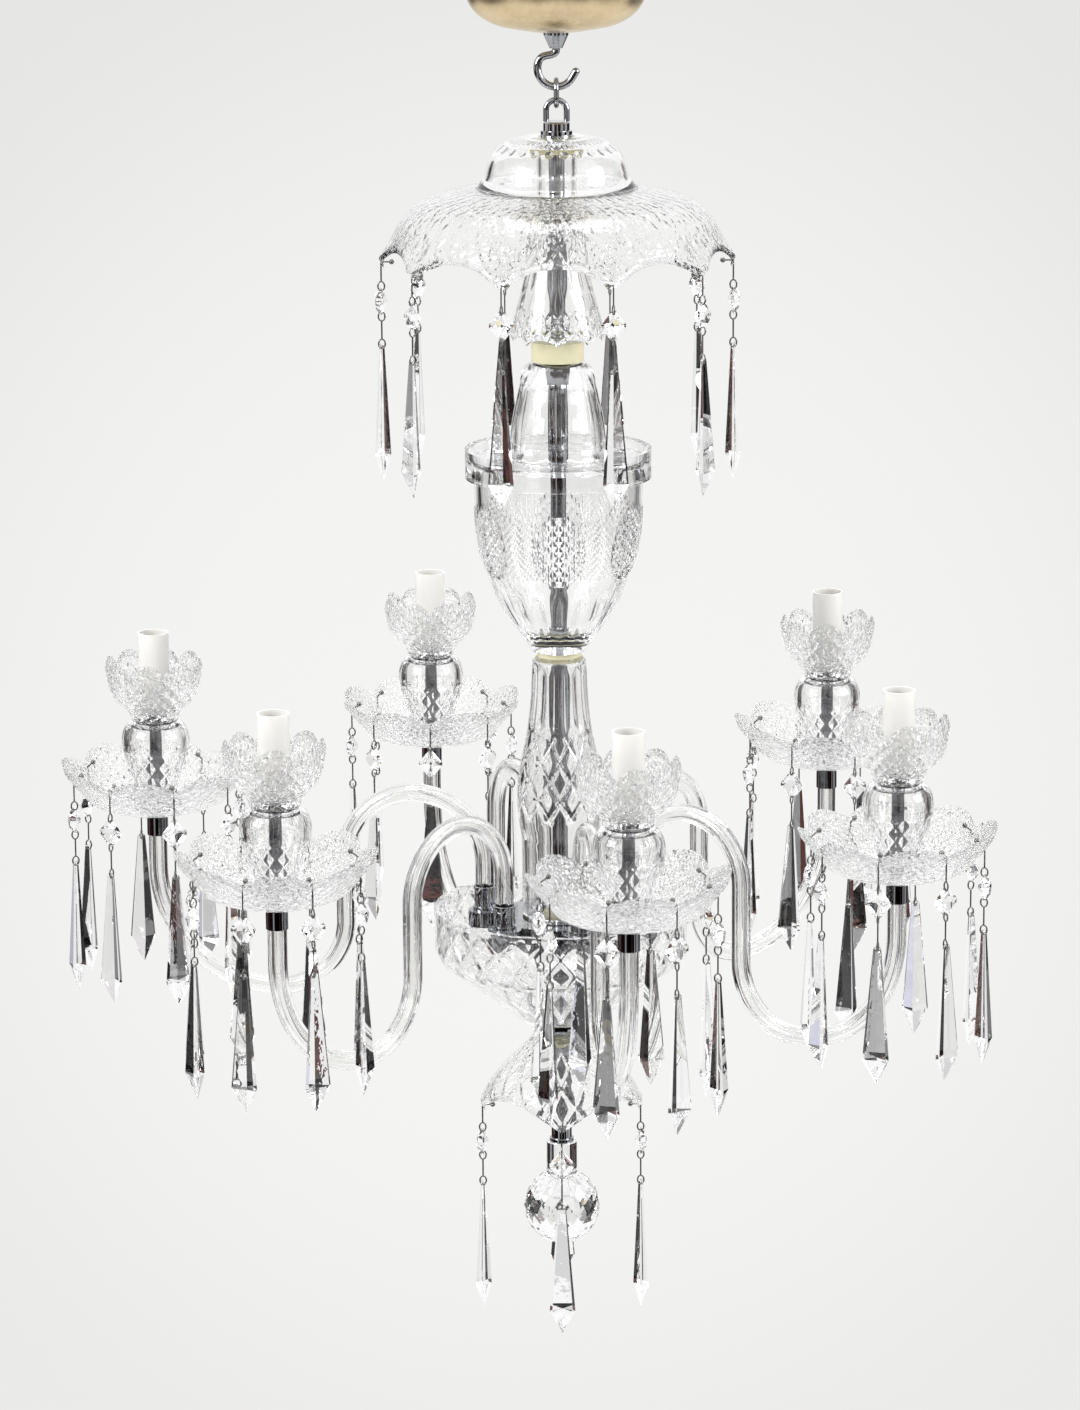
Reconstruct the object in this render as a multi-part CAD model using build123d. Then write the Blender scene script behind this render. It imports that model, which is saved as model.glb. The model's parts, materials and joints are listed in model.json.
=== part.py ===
from build123d import *
import os
from math import cos, radians, sin, tan

# Two-tier crystal chandelier with six glass arms, hung by a hook, a link and a bail.
# Millimetres. z = 0 is the ceiling and the chandelier hangs below it, its axis on Z.
# Angles in the plan are degrees from +X towards +Y, and the front looks towards -Y.
# Every glass piece is threaded on one central tube, so the pieces stack downwards:
# each level below is worked out from the piece above it.

# Ceiling fixing: strap, dished cover, cone nut and hook
strap_length, strap_width, strap_thickness = 96.0, 22.0, 3.0
strap_hole_spacing, strap_hole_radius = 70.0, 2.25
strap_boss_radius, strap_boss_height, strap_web = 8.0, 6.0, 1.2
cover_radius, cover_depth, cover_wall = 69.0, 38.0, 1.2
cone_radius, cone_foot_radius, cone_height = 9.5, 5.0, 13.0
shank_radius, shank_clearance = 3.0, 0.3
hook_bend_radius, hook_wire_radius = 14.0, 3.0
hook_drop, hook_opening, hook_lip_length = 15.0, 30.0, 5.0

# Hanging link and the bail it carries
hang_clearance = 0.25
link_wire_radius, link_bend_radius, link_length = 2.0, 7.0, 19.5
bail_wire_radius, bail_half_width, bail_leg = 2.25, 7.75, 16.0
bail_cap_radius, bail_cap_height = 10.0, 7.0
bail_foot_radius, bail_foot_height = 12.0, 6.0

# Central tube and the fittings threaded on it
tube_radius, tube_bore_radius, tube_clearance = 6.0, 4.4, 0.2
tube_grip = 9.0
nut_across_flats, nut_height = 17.0, 9.0

# Cream washers between glass and metal
thin_washer, dome_washer, neck_washer, lid_washer = 2.0, 4.0, 8.0, 15.0
small_washer_radius, seat_washer_radius, wide_washer_radius = 14.0, 17.0, 20.0

# Crown: small dome over a scalloped umbrella, with a trumpet below it
dome_radius, dome_height, dome_wall = 61.0, 38.0, 4.0
spacer_radius, spacer_bore_radius = 15.0, 12.0
umbrella_radius, umbrella_height, umbrella_wall = 131.0, 57.0, 3.5
umbrella_well, umbrella_petals, umbrella_arch = 10.0, 10, 16.0
trumpet_radius, trumpet_height, trumpet_wall = 33.0, 100.0, 4.0
trumpet_petals, trumpet_arch = 8, 5.0

# Stem: lid on a vase, then the neck that stands on the arm plate
lid_radius, lid_height, lid_wall, lid_flange = 37.0, 78.0, 4.0, 4.0
vase_radius, vase_height, vase_wall, vase_foot_radius = 64.5, 147.0, 5.0, 20.0
vase_rim_radius, vase_rim_height, vase_rim_upstand = 71.0, 23.0, 11.0
neck_height, neck_wall = 200.0, 4.5
neck_top_radius, neck_waist_radius, neck_swell_radius, neck_foot_radius = 16.5, 21.5, 28.5, 25.0

# Hub: arm plate, bowl and nuts
socket_circle_radius, plate_thickness, plate_core_radius, plate_lobe_radius = 61.0, 12.0, 50.0, 13.0
bowl_radius, bowl_wall, bowl_foot_radius = 93.0, 5.0, 30.0
bowl_side_height, bowl_cone_height, bowl_rim_above_plate = 37.0, 48.0, 7.0

# Arms: glass tube, out over an arch and down into a wide bend that rises under the candle.
# They are bent by hand, so each has its own swivel in its socket and its own stretch.
arm_count, first_arm_angle = 6, -75.0
arm_swivels = (-7.0, -23.5, -5.5, 8.0, 8.5, 4.0)
arm_stretches = (14.0, 20.0, 0.0, 6.0, 34.0, 26.0)
arm_tube_radius, arm_bore_radius = 7.25, 3.0
arch_radius, arch_top_above_plate = 43.5, 92.3
dip_radius, dip_below_plate, rise_radius = 43.0, 66.0, 94.0
ferrule_wall, ferrule_above_plate, ferrule_fit = 0.9, 19.0, 0.1
ferrule_floor, ferrule_bead, ferrule_bead_height = 4.0, 1.2, 3.0

# Candles: fitting, drip pan, ball, cup, sleeve and lamp holder
pan_above_plate = 77.0
fitting_flange_radius, fitting_flange_height, fitting_skirt = 13.5, 2.5, 20.0
stem_radius, stem_bore_radius, stem_clearance = 4.8, 3.3, 0.2
pan_foot_radius, pan_boss_height, pan_wall = 13.5, 7.5, 3.5
pan_valley_radius, pan_valley_height, pan_tip_height = 67.0, 28.0, 36.5
pan_slope, pan_petals = 50.0, 8
ball_radius, ball_end_radius, ball_height, ball_wall = 26.5, 15.5, 64.0, 5.0
cup_radius, cup_foot_radius, cup_height, cup_wall, cup_floor = 35.0, 15.5, 48.0, 3.5, 6.0
cup_petals, cup_arch = 8, 12.0
sleeve_radius, sleeve_wall, sleeve_height = 12.0, 1.1, 61.5
holder_clearance, holder_bore_radius, holder_bore_depth, holder_below_rim = 0.25, 7.2, 26.0, 7.0
holder_floor = 4.0

# Lower canopy, column and finial
tail_radius, tail_height, tail_wall = 60.0, 59.0, 3.5
tail_petals, tail_arch = 4, 18.0
column_radius, column_height = 8.0, 79.0
finial_radius, finial_neck_radius, finial_neck_height, finial_neck_sink = 30.0, 12.0, 28.0, 5.0
finial_stud_radius, finial_stud_length, finial_stud_fit = 3.0, 10.0, 0.2

# Drops: a headed wire pin, a small faceted button, a wire and a long spear
wire_radius, wire_loop_radius, bead_radius, bead_gap = 0.6, 3.5, 2.0, 0.5
pin_hole_radius, glass_hole_radius, pin_reach, pin_hole_to_edge = 1.6, 1.4, 2.0, 4.5
button_width, button_length, button_depth = 19.0, 22.0, 9.0
button_front_table, button_back_table = 0.5, 0.12
button_hole_to_tip, hole_to_button = 3.0, 22.0
spear_width, spear_length, spear_depth_share = 20.0, 104.0, 0.6
spear_front_share, spear_bevel_share = 0.8, 0.1
spear_top_width, spear_point, spear_tip_width, spear_hole_to_top = 6.0, 19.0, 0.8, 3.5
button_to_spear = 28.0

# Where the petals, corners and pin holes start round each rim
umbrella_start = -90.0 + 180.0 / umbrella_petals
tail_start = -90.0
pan_start = 180.0 / pan_petals


def edge(a, b):
    """Straight line between two (radius, height) points in the XZ plane."""
    return Line((a[0], 0, a[1]), (b[0], 0, b[1]))


def flow(points):
    """Straight line through two (radius, height) points, or a smooth curve through more."""
    if len(points) == 2:
        return edge(*points)
    return Spline(*[(r, 0, z) for r, z in points])


def lathe(edges):
    """Solid turned about Z from a closed outline in the XZ plane."""
    return revolve(Face(Wire(edges)), Axis.Z)


def inset(points, wall):
    """Points moved by `wall` to the right of the line that they follow."""
    moved = []
    for i, (r, z) in enumerate(points):
        before, after = points[max(i - 1, 0)], points[min(i + 1, len(points) - 1)]
        along = Vector(after[0] - before[0], 0, after[1] - before[1]).normalized()
        moved.append((r + along.Z * wall, z - along.X * wall))
    return moved


def shell(runs, wall):
    """Turned shell. `runs` are stretches of one face, and the other lies `wall` to their right."""
    points = [runs[0][0]] + [point for run in runs for point in run[1:]]
    other = inset(points, wall)
    face, back, start = [], [], 0
    for run in runs:
        end = start + len(run)
        face.append(flow(points[start:end]))
        back.insert(0, flow(other[start:end][::-1]))
        start = end - 1
    return lathe(face + [edge(points[-1], other[-1])] + back + [edge(other[0], points[0])])


def scaled(shape, radius, height, top=0.0):
    """Outline given as shares of a radius and of a height below `top`."""
    return [(share_r * radius, top - share_z * height) for share_r, share_z in shape]


def disc(radius, top, height, bore=0.0):
    """Upright cylinder hanging down from `top`, with a bore if one is given."""
    body = Pos(0, 0, top - height / 2) * Cylinder(radius, height)
    if bore:
        body -= Pos(0, 0, top - height / 2) * Cylinder(bore, height)
    return body


def around(count, start=0.0):
    """Rotations that place `count` copies evenly about Z."""
    return [Rot(0, 0, start + 360 / count * k) for k in range(count)]


def arch_radius_for(half_chord, rise):
    """Radius of the arc that rises by `rise` over a chord of twice `half_chord`."""
    return (half_chord ** 2 + rise ** 2) / (2 * rise)


def arches(count, start, rim, rise, corner):
    """Round bars lying outwards that cut one arch between each pair of hanging corners."""
    radius = arch_radius_for(rim * sin(radians(180 / count)), rise)
    bar = Pos(rim, 0, corner + rise - radius) * Rot(0, 90, 0) * Cylinder(radius, rim)
    return [turn * bar for turn in around(count, start + 180 / count)]


def petal_trim(count, start, rim, rise, valley):
    """Ring that trims a rising rim into `count` rounded petals, with valleys at `start`."""
    radius = arch_radius_for(rim * sin(radians(180 / count)), rise)
    bar = Pos(rim, 0, valley + rise - radius) * Rot(0, 90, 0) * Cylinder(radius, rim)
    ring = disc(rim * 1.4, valley + 3 * rise, 4 * rise) - disc(rim * 0.6, valley + 3 * rise, 4 * rise)
    return ring - [turn * bar for turn in around(count, start + 180 / count)]


# ---------------------------------------------------------------- levels, from the ceiling down

cone_top = -cover_depth
hook_bend_z = cone_top - cone_height - hook_drop
hook_low_z = hook_bend_z - hook_bend_radius
link_top_z = hook_low_z + hook_wire_radius + link_wire_radius + hang_clearance
link_low_z = link_top_z - link_length
bail_top_z = link_low_z + link_wire_radius + bail_wire_radius + hang_clearance
bail_cap_z = bail_top_z - bail_half_width - (bail_leg - bail_half_width)
bail_foot_z = bail_cap_z - bail_cap_height
dome_top = bail_foot_z - bail_foot_height - thin_washer
dome_lip = dome_top - dome_height
umbrella_seat = dome_lip - umbrella_well
umbrella_corner = dome_lip - umbrella_height
trumpet_top = umbrella_seat - umbrella_wall
trumpet_low = trumpet_top - trumpet_height
lid_top = trumpet_low - lid_washer
lid_seat = lid_top - lid_height
vase_low = lid_seat - vase_height
neck_top = vase_low - neck_washer
plate_top = neck_top - neck_height - thin_washer
plate_low = plate_top - plate_thickness
bowl_rim = plate_top + bowl_rim_above_plate
bowl_knee = bowl_rim - bowl_side_height
bowl_low = bowl_knee - bowl_cone_height
tail_top = bowl_low - 2 * thin_washer - 2 * nut_height
tail_corner = tail_top - tail_height
column_top = tail_top - tail_wall - thin_washer
finial_top = column_top - column_height
tube_top = bail_foot_z - bail_foot_height + tube_grip
tube_low = column_top - tube_grip

bore = tube_radius + tube_clearance
pan_seat = plate_top + pan_above_plate
ball_low = pan_seat + pan_boss_height
cup_low = ball_low + ball_height
cup_rim = cup_low + cup_height
sleeve_low = cup_low + cup_floor
arm_reach = 2 * arch_radius + dip_radius + rise_radius


# ---------------------------------------------------------------- ceiling fixing and hanger

def ceiling_strap():
    """Flat steel strap screwed to the ceiling, with a blind threaded boss for the hook."""
    strap = Pos(0, 0, -strap_thickness / 2) * Box(strap_length, strap_width, strap_thickness)
    for side in (-1, 1):
        strap -= Pos(side * strap_hole_spacing / 2, 0, 0) * disc(strap_hole_radius, 0, strap_thickness)
    strap += disc(strap_boss_radius, 0, strap_thickness + strap_boss_height)
    return strap - disc(shank_radius + shank_clearance, -strap_web, strap_thickness + strap_boss_height)


def ceiling_cover():
    """Spun brass dish that hides the strap, open towards the ceiling."""
    hole = shank_radius + shank_clearance
    side = scaled(((1.0, 0.0), (0.985, 0.25), (0.93, 0.5), (0.80, 0.74), (0.60, 0.9)),
                  cover_radius, cover_depth)
    floor = [side[-1], (cone_radius * 2.2, -cover_depth), (hole, -cover_depth)]
    return shell([side, [side[-1], floor[1]], floor[1:]], cover_wall)


def cone_nut():
    """Nut that draws the cover up against the ceiling and guides the hook's shank."""
    hole = shank_radius + shank_clearance
    nut = lathe([edge(a, b) for a, b in (
        ((hole, cone_top), (cone_radius, cone_top)),
        ((cone_radius, cone_top), (cone_radius, cone_top - 3)),
        ((cone_radius, cone_top - 3), (cone_foot_radius, cone_top - cone_height)),
        ((cone_foot_radius, cone_top - cone_height), (hole, cone_top - cone_height)),
        ((hole, cone_top - cone_height), (hole, cone_top)))])
    return nut


def ceiling_hook():
    """Round steel hook: threaded shank, a full bend towards -X and a lip that leans out."""
    radius, low = hook_bend_radius, hook_bend_z
    top_z, neck_z = -strap_web - shank_clearance, cone_top - cone_height - 1
    opening = radians(hook_opening)
    end = (radius * cos(opening), 0, low - radius * sin(opening))
    shank = Line((0, 0, top_z), (0, 0, neck_z))
    shoulder = Spline((0, 0, neck_z), (-radius * 0.62, 0, neck_z - 5), (-radius, 0, low),
                      tangents=((0, 0, -1), (0, 0, -1)))
    bend = ThreePointArc((-radius, 0, low), (0, 0, low - radius), end)
    lip = Line(end, (end[0] + hook_lip_length * sin(opening), 0, end[2] + hook_lip_length * cos(opening)))
    section = Plane(origin=(0, 0, top_z), z_dir=(0, 0, -1)) * Circle(hook_wire_radius)
    return sweep(section, path=Wire([shank, shoulder, bend, lip])) + Pos(lip @ 1) * Sphere(hook_wire_radius)


def hanging_link():
    """Closed oval link, edge-on to the front, between the hook and the bail."""
    radius = link_bend_radius
    upper, lower = link_top_z - radius, link_low_z + radius
    path = Wire([
        ThreePointArc((0, radius, upper), (0, 0, link_top_z), (0, -radius, upper)),
        Line((0, -radius, upper), (0, -radius, lower)),
        ThreePointArc((0, -radius, lower), (0, 0, link_low_z), (0, radius, lower)),
        Line((0, radius, lower), (0, radius, upper))])
    section = Plane(origin=(0, radius, upper), z_dir=(0, 0, 1)) * Circle(link_wire_radius)
    return sweep(section, path=path)


def top_bail():
    """Bail on a turned cap and foot, screwed on the central tube's upper end."""
    half = bail_half_width
    path = Wire([
        Line((-half, 0, bail_cap_z), (-half, 0, bail_top_z - half)),
        ThreePointArc((-half, 0, bail_top_z - half), (0, 0, bail_top_z), (half, 0, bail_top_z - half)),
        Line((half, 0, bail_top_z - half), (half, 0, bail_cap_z))])
    section = Plane(origin=(-half, 0, bail_cap_z), z_dir=(0, 0, 1)) * Circle(bail_wire_radius)
    cap = disc(bail_cap_radius, bail_cap_z, bail_cap_height)
    cap = chamfer(cap.edges().group_by(Axis.Z)[-1], 1.2)
    foot = disc(bail_foot_radius, bail_foot_z, bail_foot_height)
    grip = disc(tube_radius, tube_top, tube_grip)
    return sweep(section, path=path) + cap + foot - grip


# ---------------------------------------------------------------- what is threaded on the tube

def centre_tube():
    """Chromed tube that carries every glass piece and the wires inside."""
    return disc(tube_radius, tube_top, tube_top - tube_low, tube_bore_radius)


def washers():
    """Cream washers that keep glass and metal apart, each with its radius, level and height."""
    places = (
        (small_washer_radius, dome_top + thin_washer, thin_washer),
        (wide_washer_radius, dome_top - dome_wall, dome_washer),
        (wide_washer_radius, lid_top + lid_washer, lid_washer),
        (small_washer_radius, lid_top - lid_wall, thin_washer),
        (small_washer_radius, vase_low + vase_wall * 2 + thin_washer, thin_washer),
        (seat_washer_radius, neck_top + neck_washer, neck_washer),
        (seat_washer_radius, plate_top + thin_washer, thin_washer),
        (small_washer_radius, bowl_low, thin_washer),
        (small_washer_radius, tail_top + thin_washer, thin_washer),
        (seat_washer_radius * 0.6, tail_top - tail_wall, thin_washer))
    return [disc(radius, top, height, bore) for radius, top, height in places]


def tube_nuts():
    """Hexagon nuts that clamp the glass pieces at their levels."""
    tops = (
        trumpet_top - trumpet_wall,
        lid_top - lid_wall - thin_washer,
        vase_low + vase_wall * 2 + thin_washer + nut_height,
        plate_low,
        bowl_low - thin_washer,
        bowl_low - thin_washer - nut_height)
    across = RegularPolygon(nut_across_flats / 2, 6, major_radius=False)
    blank = extrude(across - Circle(tube_radius), nut_height)
    return [Pos(0, 0, top - nut_height) * blank for top in tops]


def crown_dome():
    """Small bell-mouthed dome at the very top."""
    side = scaled(((0.36, 0.0), (0.58, 0.09), (0.74, 0.30), (0.81, 0.56), (0.86, 0.80), (1.0, 1.0)),
                  dome_radius, dome_height, dome_top)
    body = shell([[(bore, dome_top), side[0]], side], dome_wall)
    return body - disc(dome_radius * 1.1, dome_lip, dome_wall * 2)


def crown_spacer():
    """Clear tube that holds the dome's top above the umbrella's well."""
    top = dome_top - dome_wall - dome_washer
    return disc(spacer_radius, top, top - umbrella_seat, spacer_bore_radius)


def crown_umbrella():
    """Wide downward umbrella with a sunk middle and arches between its hanging corners."""
    crest = dome_radius
    well = [(bore, umbrella_seat), (seat_washer_radius * 1.4, umbrella_seat)]
    rise = [well[1], (crest * 0.72, dome_lip - umbrella_well * 0.45), (crest, dome_lip - 0.3)]
    fall = scaled(((0.60, 0.06), (0.72, 0.13), (0.84, 0.30), (0.91, 0.53), (0.97, 0.78)),
                  umbrella_radius, umbrella_height, dome_lip)
    side = rise + fall + [(umbrella_radius, dome_lip - umbrella_height * 0.87)]
    band = [side[-1], (umbrella_radius, umbrella_corner)]
    body = shell([well, side, band], umbrella_wall)
    body -= arches(umbrella_petals, umbrella_start, umbrella_radius, umbrella_arch, umbrella_corner)
    return body - [turn * hole for turn in around(umbrella_petals, umbrella_start)
                   for hole in [rim_hole(umbrella_radius - umbrella_wall / 2, umbrella_pin_z)]]


def crown_trumpet():
    """Trumpet below the umbrella, with a lightly scalloped mouth."""
    side = scaled(((0.50, 0.0), (0.53, 0.34), (0.64, 0.53), (0.73, 0.64), (0.86, 0.80), (1.0, 1.0)),
                  trumpet_radius, trumpet_height, trumpet_top)
    body = shell([[(bore, trumpet_top), side[0]], side], trumpet_wall)
    return body - arches(trumpet_petals, 0, trumpet_radius, trumpet_arch, trumpet_low)


def stem_lid():
    """Tall bell whose flange closes the vase."""
    side = scaled(((0.55, 0.0), (0.66, 0.04), (0.785, 0.22), (0.89, 0.45), (0.96, 0.64), (1.0, 0.945)),
                  lid_radius, lid_height, lid_top)
    body = shell([[(bore, lid_top), side[0]], side], lid_wall)
    flange_bore = lid_radius - lid_wall
    return body + disc(vase_rim_radius - vase_wall - 0.5, lid_seat + lid_flange, lid_flange, flange_bore)


def stem_vase():
    """Urn with a heavy rim ring, a ledge for the lid and a small foot."""
    belly = scaled(((1.0, 0.08), (0.99, 0.25), (0.95, 0.40), (0.89, 0.52), (0.79, 0.645),
                    (0.65, 0.77), (0.465, 0.89)), vase_radius, vase_height, lid_seat)
    foot = (vase_foot_radius, vase_low)
    outer = [edge((bore, vase_low), foot), flow([foot] + belly[::-1])]
    inner = [(r - vase_wall, z) for r, z in belly]
    floor = (bore, vase_low + vase_wall * 2)
    ledge = (belly[0][0] - vase_wall, lid_seat)
    rim_low = lid_seat + vase_rim_upstand - vase_rim_height
    rim = [belly[0], (vase_rim_radius, rim_low), (vase_rim_radius, lid_seat + vase_rim_upstand),
           (vase_rim_radius - vase_wall, lid_seat + vase_rim_upstand),
           (vase_rim_radius - vase_wall, lid_seat), ledge, inner[0]]
    inside = flow(inner + [(vase_foot_radius * 0.75, floor[1])])
    return lathe(outer + [edge(a, b) for a, b in zip(rim, rim[1:])] +
                 [inside, edge((vase_foot_radius * 0.75, floor[1]), floor),
                  edge(floor, (bore, vase_low))])


def stem_neck():
    """Flared neck that swells above a plain foot and stands on the arm plate."""
    low = neck_top - neck_height
    side = [(neck_top_radius, neck_top), (neck_top_radius * 1.05, neck_top - neck_height * 0.12),
            (neck_waist_radius, neck_top - neck_height * 0.30),
            (neck_swell_radius, neck_top - neck_height * 0.50),
            (neck_foot_radius, neck_top - neck_height * 0.70), (neck_foot_radius, low)]
    return shell([[(bore, neck_top), side[0]], side[:5], side[4:]], neck_wall)


# ---------------------------------------------------------------- hub, bowl, tail

def socket_turns():
    """Rotations of the arm sockets about the axis."""
    return around(arm_count, first_arm_angle)


def arm_plate():
    """Cast plate with a lobe and a socket for each arm."""
    socket = arm_tube_radius + ferrule_wall + 2 * ferrule_fit
    plate = disc(plate_core_radius, plate_top, plate_thickness)
    for turn in socket_turns():
        plate += turn * Pos(socket_circle_radius, 0, 0) * disc(plate_lobe_radius, plate_top, plate_thickness)
    for turn in socket_turns():
        plate -= turn * Pos(socket_circle_radius, 0, 0) * disc(socket, plate_top, plate_thickness)
    return plate - disc(bore, plate_top, plate_thickness)


def hub_bowl():
    """Bowl below the plate: upright side, then a cone down to a thick foot."""
    foot = (bowl_foot_radius, bowl_low)
    side = [(bowl_radius, bowl_rim), (bowl_radius, bowl_knee + 6)]
    knee = [side[1], (bowl_radius - 2.5, bowl_knee), (bowl_radius - 11, bowl_knee - 7)]
    body = shell([side, knee, [knee[-1], foot], [foot, (bore, bowl_low)]], bowl_wall)
    return body


def tail_umbrella():
    """Small canopy under the bowl, deeply arched between its four corners."""
    side = scaled(((0.32, 0.0), (0.47, 0.16), (0.69, 0.39), (0.885, 0.63), (1.0, 0.84)),
                  tail_radius, tail_height, tail_top)
    band = [side[-1], (tail_radius, tail_corner)]
    body = shell([[(bore, tail_top), side[0]], side, band], tail_wall)
    body -= arches(tail_petals, tail_start, tail_radius, tail_arch, tail_corner)
    return body - [turn * rim_hole(tail_radius - tail_wall / 2, tail_pin_z)
                   for turn in around(tail_petals, tail_start)]


def tail_column():
    """Turned column below the tail canopy, threaded for the tube above and the finial below."""
    column = disc(column_radius, column_top, column_height)
    collar = disc(column_radius + 2, column_top, 4)
    foot = disc(column_radius + 1.5, finial_top + 3, 3)
    stud_bore = finial_stud_radius + finial_stud_fit
    return column + collar + foot - disc(tube_radius, column_top, tube_grip) - disc(
        stud_bore, finial_top + finial_stud_length + finial_stud_fit, finial_stud_length + finial_stud_fit)


def finial():
    """Glass ball on a short neck, with a stud up into the column."""
    centre = finial_top - finial_neck_height - finial_radius + finial_neck_sink
    neck = disc(finial_neck_radius, finial_top, finial_neck_height + 2)
    stud = disc(finial_stud_radius, finial_top + finial_stud_length, finial_stud_length)
    return Pos(0, 0, centre) * Sphere(finial_radius) + neck + stud


# ---------------------------------------------------------------- arms and candles

def arm_places():
    """Place of each arm: about the axis, out to its socket, then its own swivel there."""
    return [turn * Pos(socket_circle_radius, 0, 0) * Rot(0, 0, swivel)
            for turn, swivel in zip(socket_turns(), arm_swivels)]


def candle_places():
    """Place of each candle's axis at the end of its arm."""
    return [place * Pos(arm_reach + stretch, 0, 0)
            for place, stretch in zip(arm_places(), arm_stretches)]


def arm_path(stretch):
    """Line of one arm, from its socket at x = 0, its arch and dip widened by `stretch` in all."""
    widening = 1 + stretch / (2 * arch_radius + dip_radius)
    arch, dip, reach = arch_radius * widening, dip_radius * widening, arm_reach + stretch
    arch_z = plate_top + arch_top_above_plate - arch
    leg_x = 2 * arch
    dip_x, dip_z = leg_x + dip, plate_top - dip_below_plate
    start_z = plate_top - plate_thickness + ferrule_floor
    end_z = pan_seat - fitting_flange_height
    turn = cos(radians(45))
    return Wire([
        Line((0, 0, start_z), (0, 0, arch_z)),
        ThreePointArc((0, 0, arch_z), (arch, 0, arch_z + arch), (leg_x, 0, arch_z)),
        Line((leg_x, 0, arch_z), (leg_x, 0, dip_z + dip)),
        ThreePointArc((leg_x, 0, dip_z + dip),
                      (dip_x - dip * turn, 0, dip_z + dip * (1 - turn)), (dip_x, 0, dip_z)),
        ThreePointArc((dip_x, 0, dip_z),
                      (dip_x + rise_radius * turn, 0, dip_z + rise_radius * (1 - turn)),
                      (reach, 0, dip_z + rise_radius)),
        Line((reach, 0, dip_z + rise_radius), (reach, 0, end_z))])


def glass_arm(stretch):
    """One bent glass tube that reaches `stretch` further than the shortest."""
    path = arm_path(stretch)
    section = Plane(origin=path @ 0, z_dir=(0, 0, 1)) * (Circle(arm_tube_radius) - Circle(arm_bore_radius))
    return sweep(section, path=path)


def arm_ferrule():
    """Chromed ferrule cemented on the arm's lower end, seated in the plate by its bead."""
    inner = arm_tube_radius + ferrule_fit
    outer = inner + ferrule_wall
    top = plate_top + ferrule_above_plate
    body = disc(outer, top, top - plate_low) - disc(inner, top, top - plate_low - ferrule_floor)
    body += disc(outer + ferrule_bead, plate_top + ferrule_bead_height, ferrule_bead_height, outer)
    body += disc(outer + ferrule_bead / 2, top, ferrule_bead_height / 2, outer)
    return body - disc(arm_bore_radius, plate_low + ferrule_floor, ferrule_floor)


def candle_fitting():
    """Skirt over the arm's end, flange under the pan and the stem that the glass is threaded on."""
    inner = arm_tube_radius + ferrule_fit
    under = pan_seat - fitting_flange_height
    top = sleeve_low + holder_floor
    body = disc(inner + ferrule_wall, under, fitting_skirt, inner)
    body += disc(fitting_flange_radius, pan_seat, fitting_flange_height)
    body += disc(stem_radius, top, top - under)
    return body - disc(stem_bore_radius, top, top - under)


def drip_pan():
    """Dished pan: thick boss, straight sloping wall and eight rounded petals."""
    slope = radians(pan_slope)
    tip = (pan_valley_radius + (pan_tip_height - pan_valley_height) / tan(slope), pan_tip_height)
    knee_radius = 51.0
    knee = (knee_radius, pan_valley_height - (pan_valley_radius - knee_radius) * tan(slope))
    bowl = [(pan_foot_radius, 0), (pan_foot_radius * 1.9, 1.5), (knee_radius * 0.82, knee[1] * 0.52), knee]
    hole = stem_radius + stem_clearance
    wall = shell([[(hole, 0), bowl[0]], bowl, [knee, tip]], -pan_wall)
    body = wall + Pos(0, 0, pan_boss_height) * disc(ball_end_radius * 0.9, 0, pan_boss_height, hole)
    body -= petal_trim(pan_petals, pan_start, pan_valley_radius, pan_tip_height - pan_valley_height,
                       pan_valley_height)
    pin = pan_pin_hole()
    return Pos(0, 0, pan_seat) * (body - [turn * pin for turn in around(pan_petals, pan_start)])


def candle_ball():
    """Hollow pear-shaped ball, widest near its top."""
    hole = stem_radius + stem_clearance
    side = scaled(((0.585, 0.0), (0.87, 0.10), (1.0, 0.27), (0.95, 0.47), (0.80, 0.70), (0.64, 0.88),
                   (0.585, 1.0)), ball_radius, ball_height, ball_height)
    inner = [(side[0][0] * 0.62, ball_height - ball_wall)] + [(r - ball_wall, z) for r, z in side[1:-1]]
    inner += [(side[-1][0] * 0.45, ball_wall)]
    outside = lathe([edge((hole, ball_height), side[0]), flow(side), edge(side[-1], (hole, 0)),
                     edge((hole, 0), (hole, ball_height))])
    inside = lathe([edge((hole, inner[0][1]), inner[0]), flow(inner), edge(inner[-1], (hole, ball_wall)),
                    edge((hole, ball_wall), (hole, inner[0][1]))])
    return Pos(0, 0, ball_low) * (outside - inside)


def candle_cup():
    """Deeply scalloped cup around the candle."""
    hole = stem_radius + stem_clearance
    side = [(cup_foot_radius, 0), (cup_foot_radius * 1.12, cup_height * 0.14),
            (cup_radius * 0.78, cup_height * 0.34), (cup_radius * 0.94, cup_height * 0.62),
            (cup_radius, cup_height)]
    inner = [(r, z) for r, z in inset(side, -cup_wall)[1:]]
    floor_edge = (cup_foot_radius - 1.0, cup_floor)
    body = lathe([edge((hole, 0), side[0]), flow(side), edge(side[-1], inner[-1]),
                  flow([inner[-1], inner[-2], inner[-3], floor_edge]),
                  edge(floor_edge, (hole, cup_floor)), edge((hole, cup_floor), (hole, 0))])
    body -= petal_trim(cup_petals, 180 / cup_petals, cup_radius, cup_arch, cup_height - cup_arch)
    return Pos(0, 0, cup_low) * body


def candle_sleeve():
    """Plain white sleeve that stands in the cup."""
    top = sleeve_low + sleeve_height
    return disc(sleeve_radius, top, sleeve_height, sleeve_radius - sleeve_wall)


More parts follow.
